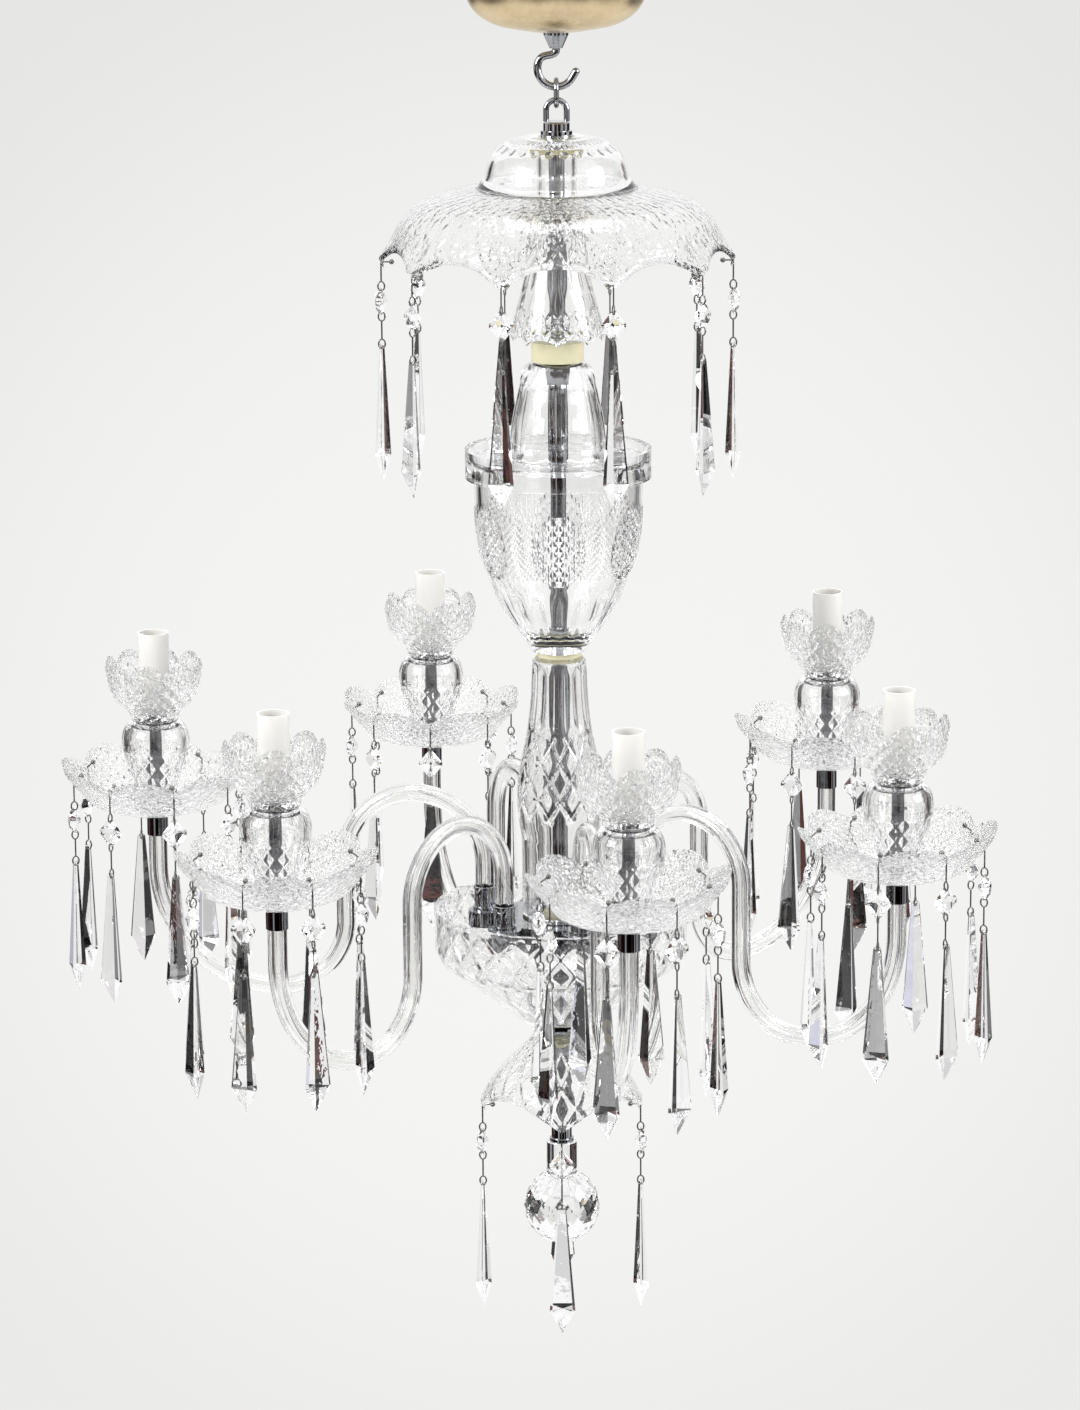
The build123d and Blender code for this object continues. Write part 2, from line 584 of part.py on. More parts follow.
def lamp_holder():
    """Holder for a small screw lamp inside the sleeve, on top of the stem."""
    top = sleeve_low + sleeve_height - holder_below_rim
    outer = sleeve_radius - sleeve_wall - holder_clearance
    low = sleeve_low + holder_floor
    neck = disc(outer * 0.6, top - holder_bore_depth - 3, top - holder_bore_depth - 3 - low)
    body = disc(outer, top, holder_bore_depth + 3) - disc(holder_bore_radius, top, holder_bore_depth)
    return body + neck


# ---------------------------------------------------------------- drops

umbrella_pin_z = umbrella_corner + pin_hole_to_edge
tail_pin_z = tail_corner + pin_hole_to_edge
pan_pin_radius = pan_valley_radius - pin_hole_to_edge * cos(radians(pan_slope))
pan_pin_height = pan_valley_height - pin_hole_to_edge * sin(radians(pan_slope))
pan_pin_tilt = 90.0 - pan_slope


def rim_hole(radius, z):
    """Tool for a level pin hole through an upright rim."""
    return Pos(radius, 0, z) * Rot(0, 90, 0) * Cylinder(pin_hole_radius, 4 * umbrella_wall)


def pan_pin_hole():
    """Tool for a pin hole square to the pan's sloping wall, and its place by the valley."""
    x, z = pan_pin_centre()
    return Pos(x, 0, z) * Rot(0, 90 + pan_pin_tilt, 0) * Cylinder(pin_hole_radius, 4 * pan_wall)


def pan_pin_centre():
    """Middle of the pan's wall at a pin hole, as (radius, height above the pan's seat)."""
    tilt = radians(pan_pin_tilt)
    return (pan_pin_radius - cos(tilt) * pan_wall / 2, pan_pin_height + sin(tilt) * pan_wall / 2)


def loop(z):
    """Closed wire eye about the X axis, centred at height z."""
    return Pos(0, 0, z) * Rot(0, 90, 0) * Torus(wire_loop_radius, wire_radius)


def rod_between(start, end):
    """Straight wire between two points."""
    along = Vector(*end) - Vector(*start)
    return Plane(origin=start, z_dir=along) * (
        Pos(0, 0, along.length / 2) * Cylinder(wire_radius, along.length))


def pin_wire(wall, tilt):
    """Headed pin through a rim: bead inside, level or tilted pin, elbow, and an eye for the button."""
    out = Vector(0, cos(radians(tilt)), -sin(radians(tilt)))
    bead = out * -(wall / 2 + bead_radius + bead_gap)
    elbow = out * (wall / 2 + pin_reach)
    eye_z = elbow.Z - hole_to_button + wire_loop_radius
    body = Pos(bead) * Sphere(bead_radius) + rod_between(tuple(bead), tuple(elbow))
    body += Pos(elbow) * Sphere(wire_radius)
    body += rod_between(tuple(elbow), (0, elbow.Y, eye_z + wire_loop_radius))
    return body + Pos(0, elbow.Y, 0) * loop(eye_z), elbow


def joining_wire(top_z):
    """Wire between the button and the spear, with an eye at each end."""
    upper = top_z - wire_loop_radius
    lower = top_z - button_to_spear + wire_loop_radius
    return loop(upper) + loop(lower) + rod_between((0, 0, upper - wire_loop_radius),
                                                   (0, 0, lower + wire_loop_radius))


def across_hole(z):
    """Tool for a hole through a crystal, front to back."""
    return Pos(0, 0, z) * Rot(90, 0, 0) * Cylinder(glass_hole_radius, spear_width)


def button():
    """Faceted button: a lozenge with clipped corners, a broad table in front and a keen back."""
    half, tall, clip = button_width / 2, button_length / 2, button_width / 12
    outline = [(half, clip), (clip, tall), (-clip, tall), (-half, clip),
               (-half, -clip), (-clip, -tall), (clip, -tall), (half, -clip)]
    sections = [Plane.XZ.offset(-y) * Polygon(*[(x * share, z * share) for x, z in outline], align=None)
                for y, share in ((-button_depth / 2, button_back_table), (0, 1),
                                 (button_depth / 2, button_front_table))]
    hole = button_length / 2 - button_hole_to_tip
    return loft(sections, ruled=True) - across_hole(hole) - across_hole(-hole)


def spear():
    """Long spear with a flat front, bevelled sides and a ridge down its back, pointed at its foot."""
    def section(width, z):
        half, face, deep = width / 2, width * spear_front_share / 2, width * spear_depth_share / 2
        side = deep - width * spear_bevel_share
        points = [(half, side), (face, deep), (-face, deep), (-half, side), (0, -deep)]
        return Pos(0, 0, z) * Polygon(*points, align=None)
    widths = ((spear_tip_width, spear_hole_to_top - spear_length),
              (spear_width, spear_hole_to_top - spear_length + spear_point),
              (spear_top_width, spear_hole_to_top))
    return loft([section(width, z) for width, z in widths], ruled=True) - across_hole(0)


def drop(wall, tilt):
    """The four solids of one drop, about the middle of its pin hole, facing +Y."""
    pin, elbow = pin_wire(wall, tilt)
    button_hole = elbow.Z - hole_to_button
    button_z = button_hole - (button_length / 2 - button_hole_to_tip)
    low_hole = button_z - (button_length / 2 - button_hole_to_tip)
    hang = Pos(0, elbow.Y, 0)
    return [pin, hang * Pos(0, 0, button_z) * button(), hang * joining_wire(low_hole),
            hang * Pos(0, 0, low_hole - button_to_spear) * spear()]


def hung(angle, radius, z, solids):
    """Solids of a drop placed at an angle on a rim, facing outwards."""
    place = Rot(0, 0, angle) * Pos(radius, 0, z) * Rot(0, 0, -90)
    return [place * solid for solid in solids]


def drop_pairs():
    """Every pair of drops: its name, the place that carries it, rim radius, level, angles, wall, tilt."""
    step = 360 / umbrella_petals
    pairs = []
    for k in range(umbrella_petals // 2):
        angles = (umbrella_start + step * (2 * k - 1), umbrella_start + step * 2 * k)
        pairs.append((f"crown_drops_{k + 1}", Pos(0, 0, 0), umbrella_radius - umbrella_wall / 2,
                      umbrella_pin_z, angles, umbrella_wall, 0.0))
    for k in range(tail_petals // 2):
        angles = (tail_start + 180 * k, tail_start + 180 * k + 360 / tail_petals)
        pairs.append((f"tail_drops_{k + 1}", Pos(0, 0, 0), tail_radius - tail_wall / 2,
                      tail_pin_z, angles, tail_wall, 0.0))
    radius, height = pan_pin_centre()
    for arm, place in enumerate(candle_places(), 1):
        for side, centre in (("outer", 0), ("left", 90), ("inner", 180), ("right", 270)):
            angles = (centre - pan_start, centre + pan_start)
            pairs.append((f"pan_{arm}_drops_{side}", place, radius, pan_seat + height, angles,
                          pan_wall, pan_pin_tilt))
    return pairs


# ---------------------------------------------------------------- write the nodes

def write(name, solids):
    """Write one node's solids to its own STEP file."""
    found = [solid for shape in (solids if isinstance(solids, list) else [solids])
             for solid in shape.solids()]
    export_step(Compound(children=found), f"parts/{name}.step")
    print(f"{name}: {len(found)} solids, {sum(solid.volume for solid in found):.1f} mm3")


def main():
    """Build every node and write it."""
    os.makedirs("parts", exist_ok=True)
    single = {
        "ceiling_strap": ceiling_strap, "ceiling_cover": ceiling_cover, "cone_nut": cone_nut,
        "ceiling_hook": ceiling_hook, "hanging_link": hanging_link, "top_bail": top_bail,
        "centre_tube": centre_tube, "seat_washers": washers, "tube_nuts": tube_nuts,
        "crown_dome": crown_dome, "crown_spacer": crown_spacer, "crown_umbrella": crown_umbrella,
        "crown_trumpet": crown_trumpet, "stem_lid": stem_lid, "stem_vase": stem_vase,
        "stem_neck": stem_neck, "arm_plate": arm_plate, "hub_bowl": hub_bowl,
        "tail_umbrella": tail_umbrella, "tail_column": tail_column, "finial": finial}
    for name, build in single.items():
        write(name, build())
    write("glass_arms", [place * glass_arm(stretch)
                         for place, stretch in zip(arm_places(), arm_stretches)])
    on_candles = {
        "candle_fittings": candle_fitting, "drip_pans": drip_pan, "candle_balls": candle_ball,
        "candle_cups": candle_cup, "candle_sleeves": candle_sleeve, "lamp_holders": lamp_holder}
    for group, places in (({"arm_ferrules": arm_ferrule}, arm_places()), (on_candles, candle_places())):
        for name, build in group.items():
            piece = build()
            write(name, [place * piece for place in places])
    crystals = {}
    for name, carrier, radius, z, angles, wall, tilt in drop_pairs():
        if (wall, tilt) not in crystals:
            crystals[(wall, tilt)] = drop(wall, tilt)
        solids = [carrier * solid for angle in angles
                  for solid in hung(angle, radius, z, crystals[(wall, tilt)])]
        write(name, solids)


if __name__ == "__main__":
    main()
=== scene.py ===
"""Looks of the two-tier crystal chandelier, in metres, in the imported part's own frame."""
import json
import logging
import math
from dataclasses import dataclass, field
from enum import Enum
from typing import Any, Callable, Iterable, Sequence

import bpy
import numpy as np
from mathutils import Euler, Matrix, Vector

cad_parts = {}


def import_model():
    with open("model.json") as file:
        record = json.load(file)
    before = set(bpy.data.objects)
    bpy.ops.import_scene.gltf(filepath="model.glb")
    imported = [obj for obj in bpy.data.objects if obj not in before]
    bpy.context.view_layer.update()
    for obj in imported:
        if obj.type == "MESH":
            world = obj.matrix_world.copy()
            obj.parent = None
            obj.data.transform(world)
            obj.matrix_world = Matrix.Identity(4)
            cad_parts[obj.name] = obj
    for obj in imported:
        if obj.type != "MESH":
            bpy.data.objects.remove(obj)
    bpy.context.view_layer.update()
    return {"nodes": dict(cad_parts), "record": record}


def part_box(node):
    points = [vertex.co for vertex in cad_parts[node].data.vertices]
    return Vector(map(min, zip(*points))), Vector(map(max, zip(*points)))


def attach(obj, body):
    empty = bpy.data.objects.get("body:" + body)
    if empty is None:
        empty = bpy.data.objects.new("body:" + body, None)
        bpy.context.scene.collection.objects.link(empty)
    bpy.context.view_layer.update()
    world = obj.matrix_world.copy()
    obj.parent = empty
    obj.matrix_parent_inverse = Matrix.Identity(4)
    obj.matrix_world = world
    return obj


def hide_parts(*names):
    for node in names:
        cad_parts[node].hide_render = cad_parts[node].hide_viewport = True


LOG = logging.getLogger("chandelier")
MM = 0.001
TAU = 2 * math.pi
# How far the inner face is ground towards the outer one at a bevelled rim.
BEVEL_SHARE = 0.85
# Radius of the holes for the centre tube and for the candle fittings, in millimetres.
TUBE_HOLE = 6.2
STEM_HOLE = 5.0
# The rigid body that everything between the hanger and the drops belongs to.
MAIN = "chandelier"
Array = np.ndarray
Point = tuple[float, float]
Skin = tuple[Array, Sequence[Sequence[int]]]
Cut = Callable[[Array, Array, Array], Array]
Tree = bpy.types.NodeTree
Socket = bpy.types.NodeSocket


# ------------------------------------------------------------------ colours and nodes

def linear(hex_colour: str) -> tuple[float, float, float, float]:
    """Turn an sRGB hex colour into linear RGBA.

    Args:
        hex_colour: Six hex digits, with or without a leading hash.

    Returns:
        Linear red, green, blue and an alpha of 1.
    """
    digits = hex_colour.lstrip("#")
    shares = [int(digits[i:i + 2], 16) / 255 for i in (0, 2, 4)]
    return tuple(c / 12.92 if c <= 0.04045 else ((c + 0.055) / 1.055) ** 2.4
                 for c in shares) + (1.0,)


def put(name: str, data: bpy.types.ID) -> bpy.types.Object:
    """Link a new object with this mesh, light or camera to the scene."""
    made = bpy.data.objects.new(name, data)
    bpy.context.scene.collection.objects.link(made)
    return made


def add_node(tree: Tree, kind: str,
             given: dict[str | int, Any] | None = None) -> bpy.types.Node:
    """Add one node, with its settings and what feeds it.

    Args:
        tree: The node tree to add it to.
        kind: The node's type name.
        given: Attribute names, or input names or numbers, to their values or to the
            output sockets that feed them. Attributes come first.

    Returns:
        The new node.
    """
    node = tree.nodes.new(kind)
    for key, value in (given or {}).items():
        if isinstance(key, str) and hasattr(node, key):
            setattr(node, key, value)
        elif isinstance(value, Socket):
            tree.links.new(value, node.inputs[key])
        else:
            node.inputs[key].default_value = value
    return node


def reckon(tree: Tree, operation: str, *feeds: Socket | float) -> Socket:
    """Output of one Math node, fed by sockets or numbers in their order."""
    given = {"operation": operation} | dict(enumerate(feeds))
    return add_node(tree, "ShaderNodeMath", given).outputs[0]


def facing(tree: Tree, ray: Socket, way: tuple[float, ...]) -> Socket:
    """How far a ray points the given way, from -1 to 1."""
    return add_node(tree, "ShaderNodeVectorMath",
                    {"operation": "DOT_PRODUCT", 0: ray, 1: way}).outputs["Value"]


def ranged(tree: Tree, value: Socket, start: float, end: float, low: float = 0.0,
           high: float = 1.0, kind: str = "LINEAR") -> Socket:
    """A value taken from the range `start` to `end` onto the range `low` to `high`."""
    return add_node(tree, "ShaderNodeMapRange", {
        "interpolation_type": kind, "Value": value, "From Min": start, "From Max": end,
        "To Min": low, "To Max": high}).outputs["Result"]


def blend(tree: Tree, share: Socket, first: Any, second: Any) -> Socket:
    """Colour between two others, each a linear colour or a socket."""
    return add_node(tree, "ShaderNodeMix", {
        "data_type": "RGBA", "Factor": share, 6: first, 7: second}).outputs[2]


class Coat(Enum):
    """What kind of surface a finish has."""

    GLASS = "glass"
    METAL = "metal"
    PLASTIC = "plastic"


@dataclass(frozen=True)
class Finish:
    """One finish of the real object, drawn with shader nodes.

    `grain_mm` is the size of the unevenness left by how the surface was made,
    `grain_height_mm` is its height, and `uneven` is how far its roughness wanders.
    `facet_mm` and `facet_height_mm` are the size and height of cuts too fine for the mesh.
    """

    name: str
    slot: str
    coat: Coat
    colour: str
    shade: str
    roughness: float
    grain_mm: float
    grain_height_mm: float
    uneven: float = 0.02
    ior: float = 1.5
    facet_mm: float = 0.0
    facet_height_mm: float = 0.0

    def material(self) -> bpy.types.Material:
        """Build the finish, or return it if it is there already.

        Returns:
            The material.
        """
        found = bpy.data.materials.get(self.name)
        if found:
            return found
        made = bpy.data.materials.new(self.name)
        made.use_nodes = True
        tree = made.node_tree
        shader = tree.nodes["Principled BSDF"]
        place = add_node(tree, "ShaderNodeTexCoord").outputs["Object"]
        cloud = add_node(tree, "ShaderNodeTexNoise", {
            "Scale": 1 / (self.grain_mm * MM), "Detail": 3.0, "Vector": place}).outputs["Fac"]
        rough = ranged(tree, cloud, 0.0, 1.0, max(self.roughness - self.uneven, 0.0),
                       self.roughness + self.uneven)
        tint = blend(tree, cloud, linear(self.colour), linear(self.shade))
        bump = add_node(tree, "ShaderNodeBump", {
            "Strength": 1.0, "Distance": self.grain_height_mm * MM, "Height": cloud})
        if self.facet_mm:
            facets = add_node(tree, "ShaderNodeTexVoronoi", {
                "Scale": 1 / (self.facet_mm * MM), "Vector": place})
            bump = add_node(tree, "ShaderNodeBump", {
                "Strength": 1.0, "Distance": self.facet_height_mm * MM,
                "Height": facets.outputs["Distance"], "Normal": bump.outputs["Normal"]})
        for name, socket in (("Base Color", tint), ("Roughness", rough),
                             ("Normal", bump.outputs["Normal"])):
            tree.links.new(socket, shader.inputs[name])
        if self.coat is Coat.GLASS:
            shader.inputs["Transmission Weight"].default_value = 1.0
        if self.coat is Coat.METAL:
            shader.inputs["Metallic"].default_value = 1.0
        else:
            shader.inputs["IOR"].default_value = self.ior
        return made


# Lead crystal, wheel cut and acid polished: water-clear and glossy, faintly rippled.
CRYSTAL = Finish("polished_lead_crystal", "clear_glass", Coat.GLASS, "#FFFFFF", "#FDFDFD",
                 0.008, 26, 0.10, 0.008, 1.54)
# The same crystal cut all over with small mitres, which break up what shows through it.
CUT_CRYSTAL = Finish("diamond_cut_crystal", "clear_glass", Coat.GLASS, "#FFFFFF", "#FDFDFD",
                     0.006, 26, 0.10, 0.004, 1.54, 3.2, 0.80)
# The same crystal under a shallower and wider cut, which leaves it clearer.
FINE_CUT = Finish("fine_cut_crystal", "clear_glass", Coat.GLASS, "#FFFFFF", "#FDFDFD",
                  0.01, 26, 0.10, 0.006, 1.54, 5.0, 0.30)
# Plain drawn glass spacer tube over the centre tube in the dome.
SPACER = Finish("drawn_glass_spacer", "clear_glass", Coat.GLASS, "#FFFFFF", "#FCFCFB",
                0.02, 12, 0.05, 0.01, 1.5)
# Drawn soda-lime tube, bent in a flame: smooth, with long soft waves from the bending.
BENT_TUBE = Finish("flame_bent_glass_tube", "clear_glass", Coat.GLASS, "#FFFFFE", "#FBFBFA",
                   0.01, 18, 0.08, 0.008, 1.52)
# Pressed and ground prisms: sharp facets with almost no ripple.
PRISM = Finish("ground_crystal_prism", "clear_glass", Coat.GLASS, "#FFFFFF", "#FCFCFD",
               0.004, 14, 0.02, 0.004, 1.55)
# Bright chrome plate over brass: a clear mirror, a little darker where fingers dulled it.
CHROME = Finish("bright_chrome_plate", "chrome", Coat.METAL, "#B4B6BA", "#96989C",
                0.07, 9, 0.004, 0.04)
# Blackened nickel plate on the candle fittings: a dark mirror.
DARK_NICKEL = Finish("dark_nickel_plate", "chrome", Coat.METAL, "#8A8B8F", "#6F7074",
                     0.06, 11, 0.006, 0.03)
# Tinned steel wire, drawn through a die: grey and less bright than the plate.
WIRE = Finish("drawn_steel_wire", "chrome", Coat.METAL, "#8C8B88", "#6E6D6B",
              0.28, 2, 0.01, 0.06)
# Spun brass under a satin lacquer: cream-gold, softly brushed by the spinning tool.
BRASS = Finish("spun_satin_brass", "spun_brass", Coat.METAL, "#E9D7B4", "#D9C093",
               0.30, 4, 0.02, 0.06)
# Zinc-plated mild steel strip, dull and faintly blotched.
ZINC = Finish("zinc_plated_strip", "zinced_steel", Coat.METAL, "#A9ABAD", "#909396",
              0.42, 6, 0.02, 0.08)
# Moulded polypropylene washer, cream and slightly waxy.
WASHER = Finish("cream_moulded_washer", "cream_washer", Coat.PLASTIC, "#EBE6C6", "#E0DAB2",
                0.42, 5, 0.03, 0.06, 1.49)
# White candle sleeve of smooth moulded plastic.
SLEEVE = Finish("white_candle_sleeve", "white_sleeve", Coat.PLASTIC, "#FAF9F6", "#F3F2EE",
                0.33, 12, 0.02, 0.05, 1.49)
# Brown phenolic lamp holder, hard and glossy.
HOLDER = Finish("brown_phenolic_holder", "brown_holder", Coat.PLASTIC, "#5A3826", "#45291A",
                0.3, 3, 0.02, 0.06, 1.6)


# ------------------------------------------------------------------ meshes

def mesh_object(name: str, points: Array, faces: Sequence[Sequence[int]],
                sharp_deg: float | None = 22.0) -> bpy.types.Object:
    """Make a mesh object from points in millimetres.

    Args:
        name: The object's name.
        points: One row of x, y, z for each vertex, in millimetres.
        faces: Vertex numbers of each face.
        sharp_deg: Edges that fold more than this stay sharp; None shades every face flat.

    Returns:
        The new object, linked to the scene.
    """
    mesh = bpy.data.meshes.new(name)
    mesh.from_pydata((points * MM).tolist(), [], [tuple(face) for face in faces])
    mesh.validate()
    if sharp_deg is not None:
        mesh.shade_smooth()
        mesh.set_sharp_from_angle(angle=math.radians(sharp_deg))
    return put(name, mesh)


def spline(points: Sequence[Point], spacing: float = 0.5) -> Array:
    """Sample a straight line through two points, or a smooth curve through more.

    Args:
        points: Radius and height pairs in millimetres.
        spacing: Distance between samples, in millimetres.

    Returns:
        The samples, one pair in each row.
    """
    knots = np.array(points, float)
    if len(knots) == 2:
        count = max(int(np.linalg.norm(knots[1] - knots[0]) / spacing), 2)
        return knots[0] + np.linspace(0, 1, count)[:, None] * (knots[1] - knots[0])
    chord = np.r_[0, np.cumsum(np.linalg.norm(np.diff(knots, axis=0), axis=1))]
    count = len(knots)
    matrix, right = np.eye(count), np.zeros((count, 2))
    step = np.diff(chord)
    for i in range(1, count - 1):
        matrix[i, i - 1], matrix[i, i + 1] = step[i - 1], step[i]
        matrix[i, i] = 2 * (step[i - 1] + step[i])
        right[i] = 6 * ((knots[i + 1] - knots[i]) / step[i]
                        - (knots[i] - knots[i - 1]) / step[i - 1])
    second = np.linalg.solve(matrix, right)
    along = np.linspace(0, chord[-1], max(int(chord[-1] / spacing), count))
    i = np.clip(np.searchsorted(chord, along, side="right") - 1, 0, count - 2)
    h, a, b = step[i][:, None], (chord[i + 1] - along)[:, None], (along - chord[i])[:, None]
    return (second[i] * a ** 3 / (6 * h) + second[i + 1] * b ** 3 / (6 * h)
            + (knots[i] / h - second[i] * h / 6) * a
            + (knots[i + 1] / h - second[i + 1] * h / 6) * b)


def line_of(runs: Sequence[Sequence[Point]]) -> Array:
    """Join the samples of several runs into one line."""
    parts = [spline(run) for run in runs]
    return np.vstack([parts[0]] + [part[1:] for part in parts[1:]])


def normals_of(line: Array) -> Array:
    """Unit normals to the left of a sampled line, lightly smoothed over its corners."""
    along = np.gradient(line, axis=0)
    along /= np.linalg.norm(along, axis=1)[:, None]
    return np.stack([-along[:, 1], along[:, 0]], axis=1)


def lengths_of(line: Array) -> Array:
    """Distance of each sample from the line's start."""
    return np.r_[0, np.cumsum(np.linalg.norm(np.diff(line, axis=0), axis=1))]


@dataclass
class Scallop:
    """A rim trimmed into arcs: `count` of them, with points or valleys at `start` degrees."""

    count: int
    start: float
    radius: float
    rise: float
    level: float

    def heights(self, angles: Array, radii: Array) -> Array:
        """Height of the rim at each angle, in millimetres.

        Args:
            angles: Plan angles in radians.
            radii: Radius of the rim at each angle.

        Returns:
            The heights.
        """
        half = self.radius * math.sin(math.pi / self.count)
        bend = (half ** 2 + self.rise ** 2) / (2 * self.rise)
        pitch = TAU / self.count
        off = (angles - math.radians(self.start)) % pitch - pitch / 2
        across = np.clip(radii * np.sin(off), -bend, bend)
        return self.level + self.rise - bend + np.sqrt(bend ** 2 - across ** 2)


def groove(phase: Array, share: float) -> Array:
    """V-shaped groove once in each whole phase, as a share of its depth."""
    return np.clip(1 - np.abs(phase % 1 - 0.5) * 2 / share, 0, 1)


def net(angles: Array, along: Array, count: float | Array, pitch: float,
        share: float) -> Array:
    """Two crossing families of slanting grooves, the wheel cutter's diamond net."""
    turn, climb = angles * count / TAU, along / pitch
    return np.maximum(groove(turn + climb, share), groove(turn - climb, share))


def band(along: Array, low: float, high: float, fade: float = 2.0) -> Array:
    """One between `low` and `high`, fading to nothing outside them."""
    return np.clip((along - low) / fade, 0, 1) * np.clip((high - along) / fade, 0, 1)


def turned_glass(name: str, outer: Array, inner: Array, steps: int,
                 rows: tuple[int, int], rim: Scallop | None = None, cut: Cut | None = None,
                 start: float = 0.0, bevel: float = 0.0) -> bpy.types.Object:
    """Turn a glass wall about Z, trim its rim and cut its outer face.

    Args:
        name: The object's name.
        outer: Sampled line of the outer face, that ends at the rim.
        inner: Sampled line of the inner face, that ends at the rim.
        steps: Number of columns round the axis.
        rows: Number of rows of the outer and of the inner face.
        rim: The scallop that trims the rim, if there is one.
        cut: Depth of cut in millimetres, from the angles, the length along the line and
            the radius.
        start: Plan angle of the first column, in degrees.
        bevel: Length over which the inner face is ground towards the outer at the rim.

    Returns:
        The closed glass piece.
    """
    angles = np.arange(steps) * TAU / steps + math.radians(start)
    grids = []
    for line, count, cutting in ((outer, rows[0], cut), (inner, rows[1], None)):
        lengths, normals = lengths_of(line), normals_of(line)
        ends = np.full(steps, lengths[-1])
        if rim:
            tail = slice(int(len(line) * 0.5), None)
            z, s = line[tail, 1], lengths[tail]
            order = np.argsort(z)
            radii = np.full(steps, line[-1, 0])
            for _ in range(3):
                ends = np.interp(rim.heights(angles, radii), z[order], s[order])
                radii = np.interp(ends, lengths, line[:, 0])
        along = np.linspace(0, 1, count)[None, :] * ends[:, None]
        r = np.interp(along, lengths, line[:, 0])
        height = np.interp(along, lengths, line[:, 1])
        if cutting:
            depth = cutting(angles[:, None] + 0 * along, along, r)
            r = r - depth * np.interp(along, lengths, normals[:, 0])
            height = height - depth * np.interp(along, lengths, normals[:, 1])
        if bevel and grids:
            ground = BEVEL_SHARE * np.clip(1 - (along[:, -1:] - along) / bevel, 0, 1)
            r = r + ground * (grids[0][0][:, -1:] - r[:, -1:])
            height = height + ground * (grids[0][1][:, -1:] - height[:, -1:])
        grids.append((r, height))
    r = np.concatenate([grids[0][0], grids[1][0][:, ::-1]], axis=1)
    z = np.concatenate([grids[0][1], grids[1][1][:, ::-1]], axis=1)
    points = np.stack([r * np.cos(angles)[:, None], r * np.sin(angles)[:, None], z], axis=2)
    across = r.shape[1]
    i, j = np.meshgrid(np.arange(steps), np.arange(across), indexing="ij")
    here, there = i * across + j, (i + 1) % steps * across + j
    after, beyond = i * across + (j + 1) % across, (i + 1) % steps * across + (j + 1) % across
    faces = np.stack([here, there, beyond, after], axis=2).reshape(-1, 4)
    flat = points.reshape(-1, 3)
    if volume_sign(flat, faces) < 0:
        faces = faces[:, ::-1]
    return mesh_object(name, flat, faces)


def volume_sign(points: Array, faces: Array) -> float:
    """Sign of the volume that the faces enclose: below zero where they point inwards."""
    a, b, c, d = (points[faces[:, k]] for k in range(4))
    volume = (np.cross(a, b) * c).sum() + (np.cross(a, c) * d).sum()
    return float(np.sign(volume))


def walled(line: Array, wall: float, bore: float, side: float = 1.0) -> Array:
    """Inner line of a wall: the outer line moved by the wall, kept clear of the bore."""
    inner = line - normals_of(line) * wall * side
    inner[:, 0] = np.maximum(inner[:, 0], bore)
    return inner


def swept_tube(path: Array, radius: float, sides: int, closed: bool = False) -> Skin:
    """Skin of a round bar along a path, capped unless the path is closed.

    Args:
        path: Points of the centre line.
        radius: The bar's radius.
        sides: Number of sides.
        closed: Whether the path's end joins its start.

    Returns:
        Its points and its four-cornered faces.
    """
    count = len(path)
    if closed:
        along = np.roll(path, -1, axis=0) - np.roll(path, 1, axis=0)
    else:
        along = np.gradient(path, axis=0)
    along /= np.linalg.norm(along, axis=1)[:, None]
    spread = path - path.mean(axis=0)
    flat_normal = np.linalg.svd(spread, full_matrices=True)[2][2]
    binormal = flat_normal - (along @ flat_normal)[:, None] * along
    binormal /= np.linalg.norm(binormal, axis=1)[:, None]
    normal = np.cross(binormal, along)
    turn = np.arange(sides) * TAU / sides
    ring = (np.cos(turn)[None, :, None] * normal[:, None, :]
            + np.sin(turn)[None, :, None] * binormal[:, None, :])
    points = (path[:, None, :] + radius * ring).reshape(-1, 3)
    faces = []
    for i in range(count if closed else count - 1):
        base, over = i * sides, (i + 1) % count * sides
        faces += [(base + j, base + (j + 1) % sides, over + (j + 1) % sides, over + j)
                  for j in range(sides)]
    if not closed:
        ends = np.vstack([path[0], path[-1]])
        first = len(points)
        points = np.vstack([points, ends])
        faces += [((j + 1) % sides, j, first, first) for j in range(sides)]
        last = (count - 1) * sides
        faces += [(last + j, last + (j + 1) % sides, first + 1, first + 1) for j in range(sides)]
    return points, np.array(faces)


def joined(parts: Iterable[Skin]) -> Skin:
    """Join several skins into one list of points and faces, dropping doubled corners."""
    points, faces, base = [], [], 0
    for some_points, some_faces in parts:
        points.append(some_points)
        for face in some_faces:
            corners = list(dict.fromkeys(int(c) for c in face))
            faces.append(tuple(c + base for c in corners))
        base += len(some_points)
    return np.vstack(points), faces


